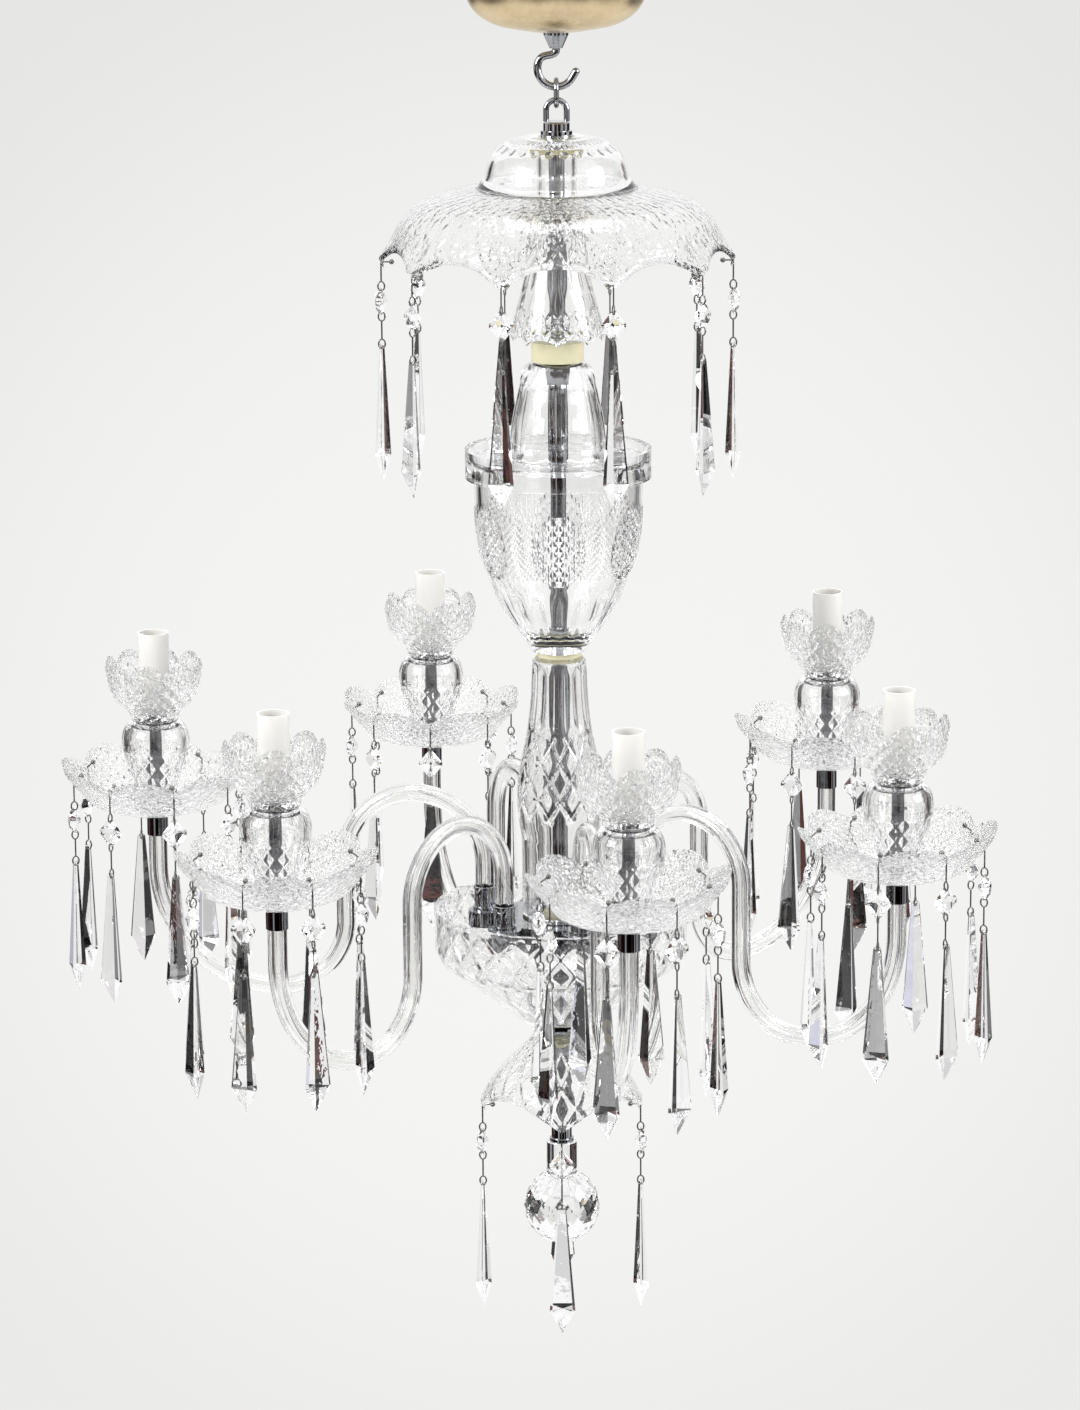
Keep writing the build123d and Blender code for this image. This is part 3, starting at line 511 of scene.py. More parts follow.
def ball_skin(centre: Sequence[float], radius: float, rings: int, sides: int,
              twist: float = 0.0) -> Skin:
    """Skin of a ball of flat facets, each ring turned by `twist` of a side from the last."""
    points = [(0, 0, radius)]
    for i in range(1, rings):
        tilt = math.pi * i / rings
        for j in range(sides):
            turn = TAU * (j + twist * i) / sides
            points.append((radius * math.sin(tilt) * math.cos(turn),
                           radius * math.sin(tilt) * math.sin(turn), radius * math.cos(tilt)))
    points.append((0, 0, -radius))
    last = len(points) - 1
    faces: list[tuple[int, ...]] = [(0, 1 + j, 1 + (j + 1) % sides) for j in range(sides)]
    for i in range(rings - 2):
        a, b = 1 + i * sides, 1 + (i + 1) * sides
        for j in range(sides):
            k = (j + 1) % sides
            faces += [(a + j, b + j, a + k), (a + k, b + j, b + k)]
    base = 1 + (rings - 2) * sides
    faces += [(base + j, last, base + (j + 1) % sides) for j in range(sides)]
    return np.array(points) + np.array(centre), faces


# ------------------------------------------------------------------ setting out what repeats

@dataclass(frozen=True)
class Place:
    """Where one copy goes: a point in millimetres and a turn about Z in radians."""

    x: float
    y: float
    z: float
    turn: float


class SettingOut:
    """Geometry Nodes that set copies of one piece at marked points and give them a finish."""

    def __init__(self) -> None:
        """Build the tree once."""
        tree = bpy.data.node_groups.new("set_out_copies", "GeometryNodeTree")
        for name, kind in (("Marks", "NodeSocketGeometry"), ("Piece", "NodeSocketObject"),
                           ("Finish", "NodeSocketMaterial"), ("Size", "NodeSocketFloat")):
            socket = tree.interface.new_socket(name, in_out="INPUT", socket_type=kind)
            if name == "Size":
                socket.default_value = 1.0
        tree.interface.new_socket("Copies", in_out="OUTPUT", socket_type="NodeSocketGeometry")
        given = add_node(tree, "NodeGroupInput").outputs
        piece = add_node(tree, "GeometryNodeObjectInfo", {
            "transform_space": "ORIGINAL", "Object": given["Piece"]})
        turn = add_node(tree, "GeometryNodeInputNamedAttribute", {
            "data_type": "FLOAT_VECTOR", "Name": "turn"})
        copies = add_node(tree, "GeometryNodeInstanceOnPoints", {
            "Points": given["Marks"], "Instance": piece.outputs["Geometry"],
            "Rotation": turn.outputs["Attribute"], "Scale": given["Size"]})
        real = add_node(tree, "GeometryNodeRealizeInstances", {
            "Geometry": copies.outputs["Instances"]})
        dressed = add_node(tree, "GeometryNodeSetMaterial", {
            "Geometry": real.outputs["Geometry"], "Material": given["Finish"]})
        add_node(tree, "NodeGroupOutput", {"Copies": dressed.outputs["Geometry"]})
        self.tree = tree

    def set_out(self, name: str, piece: bpy.types.Object, places: Sequence[Place],
                finish: Finish) -> bpy.types.Object:
        """Copy a piece to its places as one plain mesh.

        Args:
            name: Name of the result.
            piece: The piece to copy, drawn about the origin.
            places: Where the copies go.
            finish: What they are made of.

        Returns:
            One object that holds all the copies.
        """
        marks = bpy.data.meshes.new(name + "_marks")
        marks.from_pydata([(p.x * MM, p.y * MM, p.z * MM) for p in places], [], [])
        turns = marks.attributes.new("turn", "FLOAT_VECTOR", "POINT")
        for value, place in zip(turns.data, places):
            value.vector = (0.0, 0.0, place.turn)
        carrier = put(name + "_marks", marks)
        modifier = carrier.modifiers.new("set_out", "NODES")
        modifier.node_group = self.tree
        sockets = {item.name: item.identifier for item in self.tree.interface.items_tree
                   if item.in_out == "INPUT"}
        modifier[sockets["Piece"]] = piece
        modifier[sockets["Finish"]] = finish.material()
        modifier[sockets["Size"]] = 1.0
        graph = bpy.context.evaluated_depsgraph_get()
        mesh = bpy.data.meshes.new_from_object(carrier.evaluated_get(graph))
        carrier.modifiers.clear()
        bpy.data.objects.remove(carrier)
        return put(name, mesh)


def finish_piece(piece: bpy.types.Object, finish: Finish, body: str, *nodes: str) -> None:
    """Dress a piece, make it ride on its body and let it stand for its CAD nodes.

    Args:
        piece: The finished mesh object.
        finish: What it is made of.
        body: The CAD body that it moves with.
        nodes: The CAD nodes that it stands for.
    """
    if not piece.data.materials:
        piece.data.materials.append(finish.material())
    else:
        piece.data.materials[0] = finish.material()
    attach(piece, body)
    if nodes:
        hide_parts(*nodes)
    LOG.info("%s: %d faces", piece.name, len(piece.data.polygons))


def box_mm(node: str) -> tuple[Array, Array]:
    """Lowest and highest corners of a CAD node, in millimetres."""
    low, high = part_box(node)
    return np.array(low) / MM, np.array(high) / MM


def side_of(shares: Sequence[Point], radius: float, top: float, height: float) -> list[Point]:
    """Radius and height of each point, from its shares of the radius and of the drop."""
    return [(share * radius, top - drop * height) for share, drop in shares]


def turn_piece(node: str, finish: Finish, *shape: Any) -> None:
    """Turn the glass that stands for one CAD node of the main body, and finish it.

    Args:
        node: The CAD node.
        finish: What it is made of.
        shape: What `turned_glass` takes after the name.
    """
    finish_piece(turned_glass(node + "_glass", *shape), finish, MAIN, node)


# ------------------------------------------------------------------ the sub-assemblies

@dataclass
class CrownTier:
    """Dome, umbrella and trumpet at the top of the tube."""

    dome_wall: float = 4.0
    umbrella_wall: float = 3.5
    trumpet_wall: float = 4.0
    petals: int = 10
    arch: float = 16.0
    start: float = -72.0
    well: float = 10.0
    well_radius: float = 23.8
    brow: tuple[float, float] = (43.9, 61.0)
    thumbs: int = 24
    thumb_radius: float = 3.2
    thumb_place: float = 36.0

    def dome(self) -> None:
        """Small bell-mouthed dome with a ring of thumb cuts."""
        low, high = box_mm("crown_dome")
        top, lip, radius = high[2], low[2], high[0]
        side = side_of(((0.36, 0.0), (0.58, 0.09), (0.74, 0.30), (0.81, 0.56), (0.86, 0.80),
                        (1.0, 1.0)), radius, top, top - lip)
        outer = line_of([[(TUBE_HOLE, top), side[0]], side])
        inner = walled(outer, -self.dome_wall, TUBE_HOLE)
        inner[:, 1] = np.maximum(inner[:, 1], lip)

        def cuts(angles: Array, along: Array, radii: Array) -> Array:
            """Small thumb cuts in a ring on the shoulder, over a fan on it."""
            off = ((angles * self.thumbs / TAU) % 1 - 0.5) * TAU / self.thumbs * radii
            away = off ** 2 + (along - self.thumb_place) ** 2
            thumb = np.clip(1 - away / self.thumb_radius ** 2, 0, 1)
            fan = groove(angles * 2 * self.thumbs / TAU, 0.8) * band(along, 18, 30, 4)
            return 0.65 * thumb + 0.2 * fan
        turn_piece("crown_dome", CRYSTAL, outer, inner, 480, (74, 20), None, cuts, 0.0, 6.0)

    def umbrella(self) -> None:
        """Wide umbrella with arched edge and a net of curved mitre cuts."""
        low, high = box_mm("crown_umbrella")
        crest, corner, radius = high[2], low[2], -low[0]
        height = crest - corner + 0.3
        lip = corner + height
        well = [(TUBE_HOLE, lip - self.well), (self.well_radius, lip - self.well)]
        rise = [well[1], (self.brow[0], lip - self.well * 0.45), (self.brow[1], lip - 0.3)]
        fall = side_of(((0.60, 0.06), (0.72, 0.13), (0.84, 0.30), (0.91, 0.53), (0.97, 0.78),
                        (1.0, 0.87)), radius, lip, height)
        outer = line_of([well, rise + fall, [fall[-1], (radius, corner)]])
        inner = walled(outer, -self.umbrella_wall, TUBE_HOLE)
        inner[-1, 1] = corner
        rim = Scallop(self.petals, self.start, radius, self.arch, corner)

        def cuts(angles: Array, along: Array, radii: Array) -> Array:
            """Shallow curved net over the shoulder and a small leaf at each corner."""
            whole = along.max()
            turned = angles - math.radians(self.start)
            curved = net(turned, 60 * (along / whole) ** 1.6, 50, 19, 0.5)
            shallow = 0.34 * curved * band(along, whole * 0.36, whole * 0.90, 12)
            off = ((turned * self.petals / TAU + 0.5) % 1 - 0.5) * TAU / self.petals * radii
            leaf = np.clip(1 - (np.abs(off) / 7 + np.abs(along - whole * 0.84) / 12), 0, 1)
            veins = groove((along - 2.0 * np.abs(off)) / 4.0, 0.8) * (leaf > 0)
            return shallow + 0.9 * veins * np.minimum(leaf * 3, 1)
        turn_piece("crown_umbrella", FINE_CUT, outer, inner, 900, (80, 24), rim, cuts,
                   self.start, 7.0)

    def trumpet(self) -> None:
        """Trumpet with long flutes and a diamond-cut, nicked mouth."""
        low, high = box_mm("crown_trumpet")
        top, foot, radius = high[2], low[2], high[0]
        side = side_of(((0.50, 0.0), (0.53, 0.34), (0.64, 0.53), (0.73, 0.64), (0.86, 0.80),
                        (1.0, 1.0)), radius, top, top - foot)
        outer = line_of([[(TUBE_HOLE, top), side[0]], side])
        inner = walled(outer, -self.trumpet_wall, TUBE_HOLE)
        inner[-1, 1] = foot
        rim = Scallop(8, 0.0, radius, 5.0, foot)

        def cuts(angles: Array, along: Array, radii: Array) -> Array:
            """Flutes above, diamonds on the mouth."""
            whole = along.max()
            flutes = groove(angles * 16 / TAU, 0.9) * band(along, 14, whole - 36, 8)
            mouth = net(angles, along, 20, 11, 0.6) * band(along, whole - 26, whole + 9, 3)
            return 0.5 * flutes + 1.0 * mouth
        turn_piece("crown_trumpet", CRYSTAL, outer, inner, 320, (90, 24), rim, cuts, 0.0, 5.0)

    def build(self) -> None:
        """Make the whole tier."""
        self.dome()
        self.umbrella()
        self.trumpet()


@dataclass
class Stem:
    """Lid, vase and neck threaded on the tube."""

    wall: float = 5.0
    neck_wall: float = 4.5
    lid_radius: float = 37.0
    lid_wall: float = 4.0
    belly_radius: float = 64.5
    foot_radius: float = 20.0
    well_radius: float = 15.0
    seat_drop: float = 11.0
    rim_height: float = 23.0
    medallions: int = 6
    medallion_level: float = -424.0

    def lid(self) -> None:
        """Tall bell on its flange, with long flat panels."""
        low, high = box_mm("stem_lid")
        top, seat, flange = high[2], low[2], high[0]
        wall, hollow = self.lid_wall, self.lid_radius - self.lid_wall
        side = side_of(((0.55, 0.0), (0.66, 0.04), (0.785, 0.22), (0.89, 0.45), (0.96, 0.64),
                        (1.0, 0.945)), self.lid_radius, top, top - seat)
        outer = line_of([[(TUBE_HOLE, top), side[0]], side, [side[-1], (flange, seat + wall)],
                         [(flange, seat + wall), (flange, seat)]])
        crest = (side[0][0] - 3, top - wall)
        inner = line_of([[(TUBE_HOLE, top - wall), crest],
                         [crest] + [(r - wall, z - 1) for r, z in side[2:-1]]
                         + [(hollow, seat + wall)], [(hollow, seat + wall), (hollow, seat)],
                         [(hollow, seat), (flange, seat)]])

        def cuts(angles: Array, along: Array, radii: Array) -> Array:
            """Twelve long panels, ground flat."""
            return 0.4 * groove(angles * 12 / TAU, 0.5) * band(along, 18, 96, 10)
        turn_piece("stem_lid", CRYSTAL, outer, inner, 288, (110, 50), None, cuts)

    def vase(self) -> None:
        """Urn: rim ring, oval cross-hatched medallions and long flutes below."""
        low, high = box_mm("stem_vase")
        rim_top, foot, rim_radius = high[2], low[2], high[0]
        seat, rim_low = rim_top - self.seat_drop, rim_top - self.rim_height
        belly = side_of(((1.0, 0.08), (0.99, 0.25), (0.95, 0.40), (0.89, 0.52), (0.79, 0.645),
                         (0.65, 0.77), (0.465, 0.89)), self.belly_radius, seat, seat - foot)
        foot_edge, well_edge = (self.foot_radius, foot), (self.well_radius, foot + 10)
        outer = line_of([[(TUBE_HOLE, foot), foot_edge], [foot_edge] + belly[::-1],
                         [belly[0], (rim_radius, rim_low)],
                         [(rim_radius, rim_low), (rim_radius, rim_top)]])
        inside, ledge = rim_radius - self.wall, belly[0][0] - self.wall
        inner = line_of([[(TUBE_HOLE, foot + 10), well_edge],
                         [well_edge] + [(r - self.wall, z) for r, z in belly[::-1]],
                         [(ledge, belly[0][1]), (ledge, seat)],
                         [(ledge, seat), (inside, seat)], [(inside, seat), (inside, rim_top)],
                         [(inside, rim_top), (rim_radius, rim_top)]])

        def cuts(angles: Array, along: Array, radii: Array) -> Array:
            """Medallions round the belly, leaf strokes between, flutes down to the foot."""
            z = np.interp(along, lengths_of(outer), outer[:, 1])
            up = z - self.medallion_level
            pitch = TAU / self.medallions
            off = ((angles + math.pi / 2 + pitch / 2) % pitch - pitch / 2) * radii
            inside_oval = (off / 19) ** 2 + (up / 26) ** 2
            hatch = np.maximum(groove((off + z) / 8.0, 1.0), groove((off - z) / 8.0, 1.0))
            oval = hatch * np.clip((1.15 - inside_oval) / 0.12, 0, 1)
            between = ((angles + math.pi / 2) % pitch - pitch / 2) * radii
            leaf = np.clip(1 - ((between / 5.5) ** 2 + (up / 22) ** 2), 0, 1)
            strokes = (np.abs(between) < 13) * (np.abs(up) < 24)
            veins = groove((np.abs(between) * 1.2 + z) / 6, 0.7) * strokes
            flutes = groove(angles * 18 / TAU, 0.8) * band(-z, 456, 504, 10)
            return 2.2 * oval + 0.7 * leaf + 0.8 * veins + 0.9 * flutes
        turn_piece("stem_vase", CRYSTAL, outer, inner, 760, (94, 34), None, cuts, -90)

    def neck(self) -> None:
        """Fluted skirt, a swelling of large diamonds and a plain foot."""
        low, high = box_mm("stem_neck")
        top, foot = high[2], low[2]
        height = top - foot
        side = [(16.5, top), (17.3, top - height * 0.12), (21.5, top - height * 0.30),
                (28.5, top - height * 0.50), (25.0, top - height * 0.70)]
        outer = line_of([[(TUBE_HOLE, top), side[0]], side, [side[-1], (25.0, foot)]])
        inner = walled(outer, -self.neck_wall, TUBE_HOLE)
        inner[-1, 1] = foot

        def cuts(angles: Array, along: Array, radii: Array) -> Array:
            """Flutes, then diamonds one wheel wide."""
            flutes = groove(angles * 12 / TAU, 0.9) * band(along, 12, 66, 8)
            big = net(angles, along, 10, 29, 0.42) * band(along, 66, 134, 3)
            return 0.9 * flutes + 1.9 * big
        turn_piece("stem_neck", CRYSTAL, outer, inner, 320, (150, 40), None, cuts, -90)

    def build(self) -> None:
        """Make the whole stem."""
        self.lid()
        self.vase()
        self.neck()


@dataclass
class HubAndTail:
    """Bowl, lower canopy and finial."""

    wall: float = 5.0
    canopy_wall: float = 3.5
    bowl_foot: float = 30.0
    bowl_side: float = 37.0
    ball_radius: float = 30.0
    ball_neck_radius: float = 12.0

    def bowl(self) -> None:
        """Bowl with slanting mitre cuts round its side and a star cut under it."""
        low, high = box_mm("hub_bowl")
        rim, foot, radius = high[2], low[2], high[0]
        knee = rim - self.bowl_side
        side = [(radius, rim), (radius, knee + 6)]
        turn = [side[1], (radius - 2.5, knee), (radius - 11, knee - 7)]
        foot_edge = (self.bowl_foot, foot)
        outer = line_of([[(TUBE_HOLE, foot), foot_edge], [foot_edge, turn[-1]], turn[::-1],
                         side[::-1]])
        inner = walled(outer, self.wall, TUBE_HOLE)
        inner[-1, 1] = rim

        def cuts(angles: Array, along: Array, radii: Array) -> Array:
            """Star on the cone, crossing mitres on the side, nicks on the rim."""
            whole = along.max()
            star = net(angles, along, 24, 66, 0.34) * band(along, 27, whole - 44, 4)
            cross = net(angles, along, 24, 27, 0.5) * band(along, whole - 42, whole - 4, 2)
            nicks = groove(angles * 48 / TAU, 0.8) * band(along, whole - 3.5, whole + 3, 1)
            return 1.6 * star + 1.7 * cross + 0.8 * nicks
        turn_piece("hub_bowl", CRYSTAL, outer, inner, 720, (104, 24), None, cuts, -90)

    def tail(self) -> None:
        """Four-cornered canopy with a net of crossing cuts."""
        low, high = box_mm("tail_umbrella")
        top, corner, radius = high[2], low[2], high[0]
        side = side_of(((0.32, 0.0), (0.47, 0.16), (0.69, 0.39), (0.885, 0.63), (1.0, 0.84)),
                       radius, top, top - corner)
        outer = line_of([[(TUBE_HOLE, top), side[0]], side, [side[-1], (radius, corner)]])
        inner = walled(outer, -self.canopy_wall, TUBE_HOLE)
        inner[-1, 1] = corner
        rim = Scallop(4, -90.0, radius, 18.0, corner)

        def cuts(angles: Array, along: Array, radii: Array) -> Array:
            """Crossing curved cuts over the whole canopy."""
            return 1.4 * net(angles, along, 16, 34, 0.4) * band(along, 18, 84, 4)
        turn_piece("tail_umbrella", FINE_CUT, outer, inner, 360, (74, 20), rim, cuts, -90, 7.0)

    def finial(self) -> None:
        """Ball of flat ground facets on a short turned neck."""
        low, high = box_mm("finial")
        centre, neck_top = low[2] + self.ball_radius, high[2] - 10.0
        ball = mesh_object("finial_ball_glass",
                           *ball_skin((0, 0, centre), self.ball_radius, 12, 16, 0.5), None)
        finish_piece(ball, CRYSTAL, MAIN, "finial")
        inset = centre + self.ball_radius - 6
        path = np.array([(0, 0, z) for z in np.linspace(neck_top, inset, 8)])
        neck = mesh_object("finial_neck_glass",
                           *joined([swept_tube(path, self.ball_neck_radius, 48)]))
        finish_piece(neck, CRYSTAL, MAIN, "finial")

    def build(self) -> None:
        """Make the bowl and what hangs below it."""
        self.bowl()
        self.tail()
        self.finial()


@dataclass
class CandleTier:
    """Six arms, each with its pan, ball and cup."""

    setting: SettingOut
    lamps: list[Place] = field(default_factory=list)
    sockets: list[Place] = field(default_factory=list)
    socket_radius: float = 61.0
    first_socket: float = -75.0
    tube_radius: float = 7.25
    tube_bore: float = 3.0
    arch: float = 43.5
    dip: float = 43.0
    rise: float = 94.0
    pan_slope: float = 50.0
    pan_wall: float = 3.5
    pan_knee: float = 51.0
    petal_reach: float = 67.0
    petal_rise: float = 8.5
    petal_level: float = 28.0
    ball_radius: float = 26.5
    ball_wall: float = 5.0
    cup_radius: float = 35.0
    cup_wall: float = 3.5
    cup_petal: float = 12.0

    def find_places(self, record: dict[str, Any]) -> None:
        """Read where the candles stand from the record's lamp mounts."""
        lamps = [mount for mount in record["mounts"] if mount["name"].startswith("lamp_")]
        for k, mount in enumerate(sorted(lamps, key=lambda item: item["name"])):
            x, y = mount["pos_m"][0] / MM, mount["pos_m"][1] / MM
            angle = math.radians(self.first_socket + 60 * k)
            sx, sy = self.socket_radius * math.cos(angle), self.socket_radius * math.sin(angle)
            turn = math.atan2(y - sy, x - sx)
            self.lamps.append(Place(x, y, 0.0, turn))
            self.sockets.append(Place(sx, sy, 0.0, turn))

    def arm_skin(self, lamp: Place, socket: Place) -> Skin:
        """Skin of one bent tube and its bore, from its socket to its lamp.

        Args:
            lamp: Where the candle stands.
            socket: Where the arm stands in the plate.

        Returns:
            Its points, drawn from a socket at the origin out along X, and its faces.
        """
        low, high = box_mm("glass_arms")
        reach = math.hypot(lamp.x - socket.x, lamp.y - socket.y)
        widening = (reach - self.rise) / (2 * self.arch + self.dip)
        arch, dip, rise = self.arch * widening, self.dip * widening, self.rise
        arch_z = high[2] - self.tube_radius - arch
        dip_z = low[2] + self.tube_radius
        start, end = box_mm("arm_plate")[0][2] + 4.0, box_mm("drip_pans")[0][2] - 2.5
        line: list[Point] = [(0, z) for z in np.linspace(start, arch_z, 10)[:-1]]
        line += [(arch - arch * math.cos(t), arch_z + arch * math.sin(t))
                 for t in np.linspace(0, math.pi, 40)]
        line += [(2 * arch, z) for z in np.linspace(arch_z, dip_z + dip, 14)[1:-1]]
        line += [(2 * arch + dip - dip * math.cos(t), dip_z + dip - dip * math.sin(t))
                 for t in np.linspace(0, math.pi / 2, 18)]
        line += [(reach - rise + rise * math.sin(t), dip_z + rise - rise * math.cos(t))
                 for t in np.linspace(0, math.pi / 2, 26)[1:]]
        line += [(reach, z) for z in np.linspace(dip_z + rise, end, 8)[1:]]
        path = np.array([(x, 0.0, z) for x, z in line])
        outside, inside = (swept_tube(path, radius, 28)
                           for radius in (self.tube_radius, self.tube_bore))
        return joined([outside, (inside[0], np.array([face[::-1] for face in inside[1]]))])

    def arms(self) -> None:
        """Bent glass tubes with their bore, each to its own reach."""
        skins = []
        for lamp, socket in zip(self.lamps, self.sockets):
            points, faces = self.arm_skin(lamp, socket)
            across, ahead = math.sin(socket.turn), math.cos(socket.turn)
            turn = np.array([[ahead, across, 0.0], [-across, ahead, 0.0], [0.0, 0.0, 1.0]])
            skins.append((points @ turn + np.array([socket.x, socket.y, 0.0]), faces))
        made = mesh_object("glass_arm_tubes", *joined(skins))
        finish_piece(made, BENT_TUBE, MAIN, "glass_arms")

    def set_six(self, name: str, node: str, finish: Finish, piece: bpy.types.Object) -> None:
        """Set out one copy of a piece at each candle, dress them and drop the piece.

        Args:
            name: Name of the result.
            node: The CAD node that the six copies stand for.
            finish: What they are made of.
            piece: The piece to copy.
        """
        made = self.setting.set_out(name, piece, self.lamps, finish)
        finish_piece(made, finish, MAIN, node)
        bpy.data.objects.remove(piece)

    def pans(self) -> None:
        """Pans with rounded petals, fine diamonds up each and a star round the foot."""
        seat = box_mm("drip_pans")[0][2]
        slope = math.tan(math.radians(self.pan_slope))
        knee = (self.pan_knee, self.petal_level - (self.petal_reach - self.pan_knee) * slope)
        end = (self.petal_reach + self.petal_rise / slope, self.petal_level + self.petal_rise)
        bowl = [(13.5, 0.0), (25.6, 1.5), (41.8, knee[1] * 0.52), knee]
        outer = line_of([[(STEM_HOLE, 0.0), bowl[0]], bowl, [knee, end]])
        inner = walled(outer, self.pan_wall, STEM_HOLE)
        inner[:, 1] = np.where(inner[:, 0] < 15.0, 7.5, inner[:, 1])
        for line in (outer, inner):
            line[:, 1] += seat
        rim = Scallop(8, 22.5, self.petal_reach, self.petal_rise, seat + self.petal_level)

        def cuts(angles: Array, along: Array, radii: Array) -> Array:
            """Fine diamonds up the petals over a star round the foot, and nicked rims."""
            whole = lengths_of(outer)[-1]
            fine = net(angles, along, 40, 9.5, 0.9) * band(along, 40, whole - 3, 4)
            star = net(angles, along, 24, 40, 0.5) * band(along, 14, 42, 4)
            nicks = groove(angles * 72 / TAU, 0.9) * band(along, whole - 8, whole + 9, 3)
            return 1.2 * fine + 1.3 * star + 0.8 * nicks
        self.set_six("drip_pan_glass", "drip_pans", CUT_CRYSTAL, turned_glass(
            "pan_template", outer, inner, 256, (48, 14), rim, cuts, 22.5, 3.0))

    def balls(self) -> None:
        """Hollow pear-shaped balls, plain above and diamond cut below."""
        low, high = box_mm("candle_balls")
        foot, height, wall = low[2], high[2] - low[2], self.ball_wall
        shares = ((0.585, 0.0), (0.87, 0.10), (1.0, 0.27), (0.95, 0.47), (0.80, 0.70),
                  (0.64, 0.88), (0.585, 1.0))
        side = [(share * self.ball_radius, foot + height * (1 - drop))
                for share, drop in shares]
        outer = line_of([[(STEM_HOLE, foot + height), side[0]], side,
                         [side[-1], (STEM_HOLE, foot)]])
        hollow = [(side[0][0] * 0.62, foot + height - wall)]
        hollow += [(r - wall, z) for r, z in side[1:-1]]
        hollow += [(side[-1][0] * 0.45, foot + wall)]
        inner = line_of([[(STEM_HOLE, foot + height - wall), hollow[0]], hollow,
                         [hollow[-1], (STEM_HOLE, foot + wall)]])

        def cuts(angles: Array, along: Array, radii: Array) -> Array:
            """Diamonds from the shoulder down."""
            return 1.5 * net(angles, along, 12, 13, 0.8) * band(along, 40, 80, 3)
        self.set_six("candle_ball_glass", "candle_balls", CRYSTAL, turned_glass(
            "ball_template", outer, inner, 180, (72, 16), None, cuts))

    def cups(self) -> None:
        """Cups with eight deep petals, cut with diamonds and rays."""
        low, high = box_mm("candle_cups")
        foot, height = low[2], high[2] - low[2]
        side = [(15.5, foot), (17.4, foot + height * 0.14), (27.3, foot + height * 0.34),
                (32.9, foot + height * 0.62), (self.cup_radius, foot + height)]
        outer = line_of([[(STEM_HOLE, foot), side[0]], side])
        inner = walled(outer, self.cup_wall, STEM_HOLE)
        inner[:, 1] = np.where(inner[:, 0] < 13.0, foot + 6.0, inner[:, 1])
        inner[-1, 1] = foot + height
        rim = Scallop(8, 22.5, self.cup_radius, self.cup_petal,
                      foot + height - self.cup_petal)

        def cuts(angles: Array, along: Array, radii: Array) -> Array:
            """Diamonds on the belly and rays in the petals."""
            diamonds = net(angles, along, 18, 10.5, 0.9) * band(along, 16, 58, 3)
            rays = groove(angles * 56 / TAU, 0.9) * band(along, 56, 78, 2)
            return 1.4 * diamonds + 0.8 * rays
        self.set_six("candle_cup_glass", "candle_cups", CUT_CRYSTAL, turned_glass(
            "cup_template", outer, inner, 232, (54, 14), rim, cuts, 22.5, 3.0))

    def build(self, record: dict[str, Any]) -> None:
        """Make everything on the arms."""
        self.find_places(record)
        self.arms()
        self.pans()
        self.balls()
        self.cups()


def ringed(sides: int, rings: int, forward: bool) -> list[tuple[int, ...]]:
    """Four-cornered faces between rings of as many corners, numbered ring by ring."""
    faces: list[tuple[int, ...]] = []
    for base in range(0, sides * rings, sides):
        for j in range(sides):
            near, far = base + j, base + (j + 1) % sides
            corners = (near, far, far + sides, near + sides)
            faces.append(corners if forward else (near, near + sides, far + sides, far))
    return faces


class Tier(Enum):
    """What drops hang from: the radius of its holes in millimetres, half the angle between
    the two drops of a pair and the tilt of their pins, both in degrees."""

    CROWN = (129.25, 18.0, 0.0)
    TAIL = (58.25, 45.0, 0.0)
    PAN = (62.7664, 22.5, 40.0)


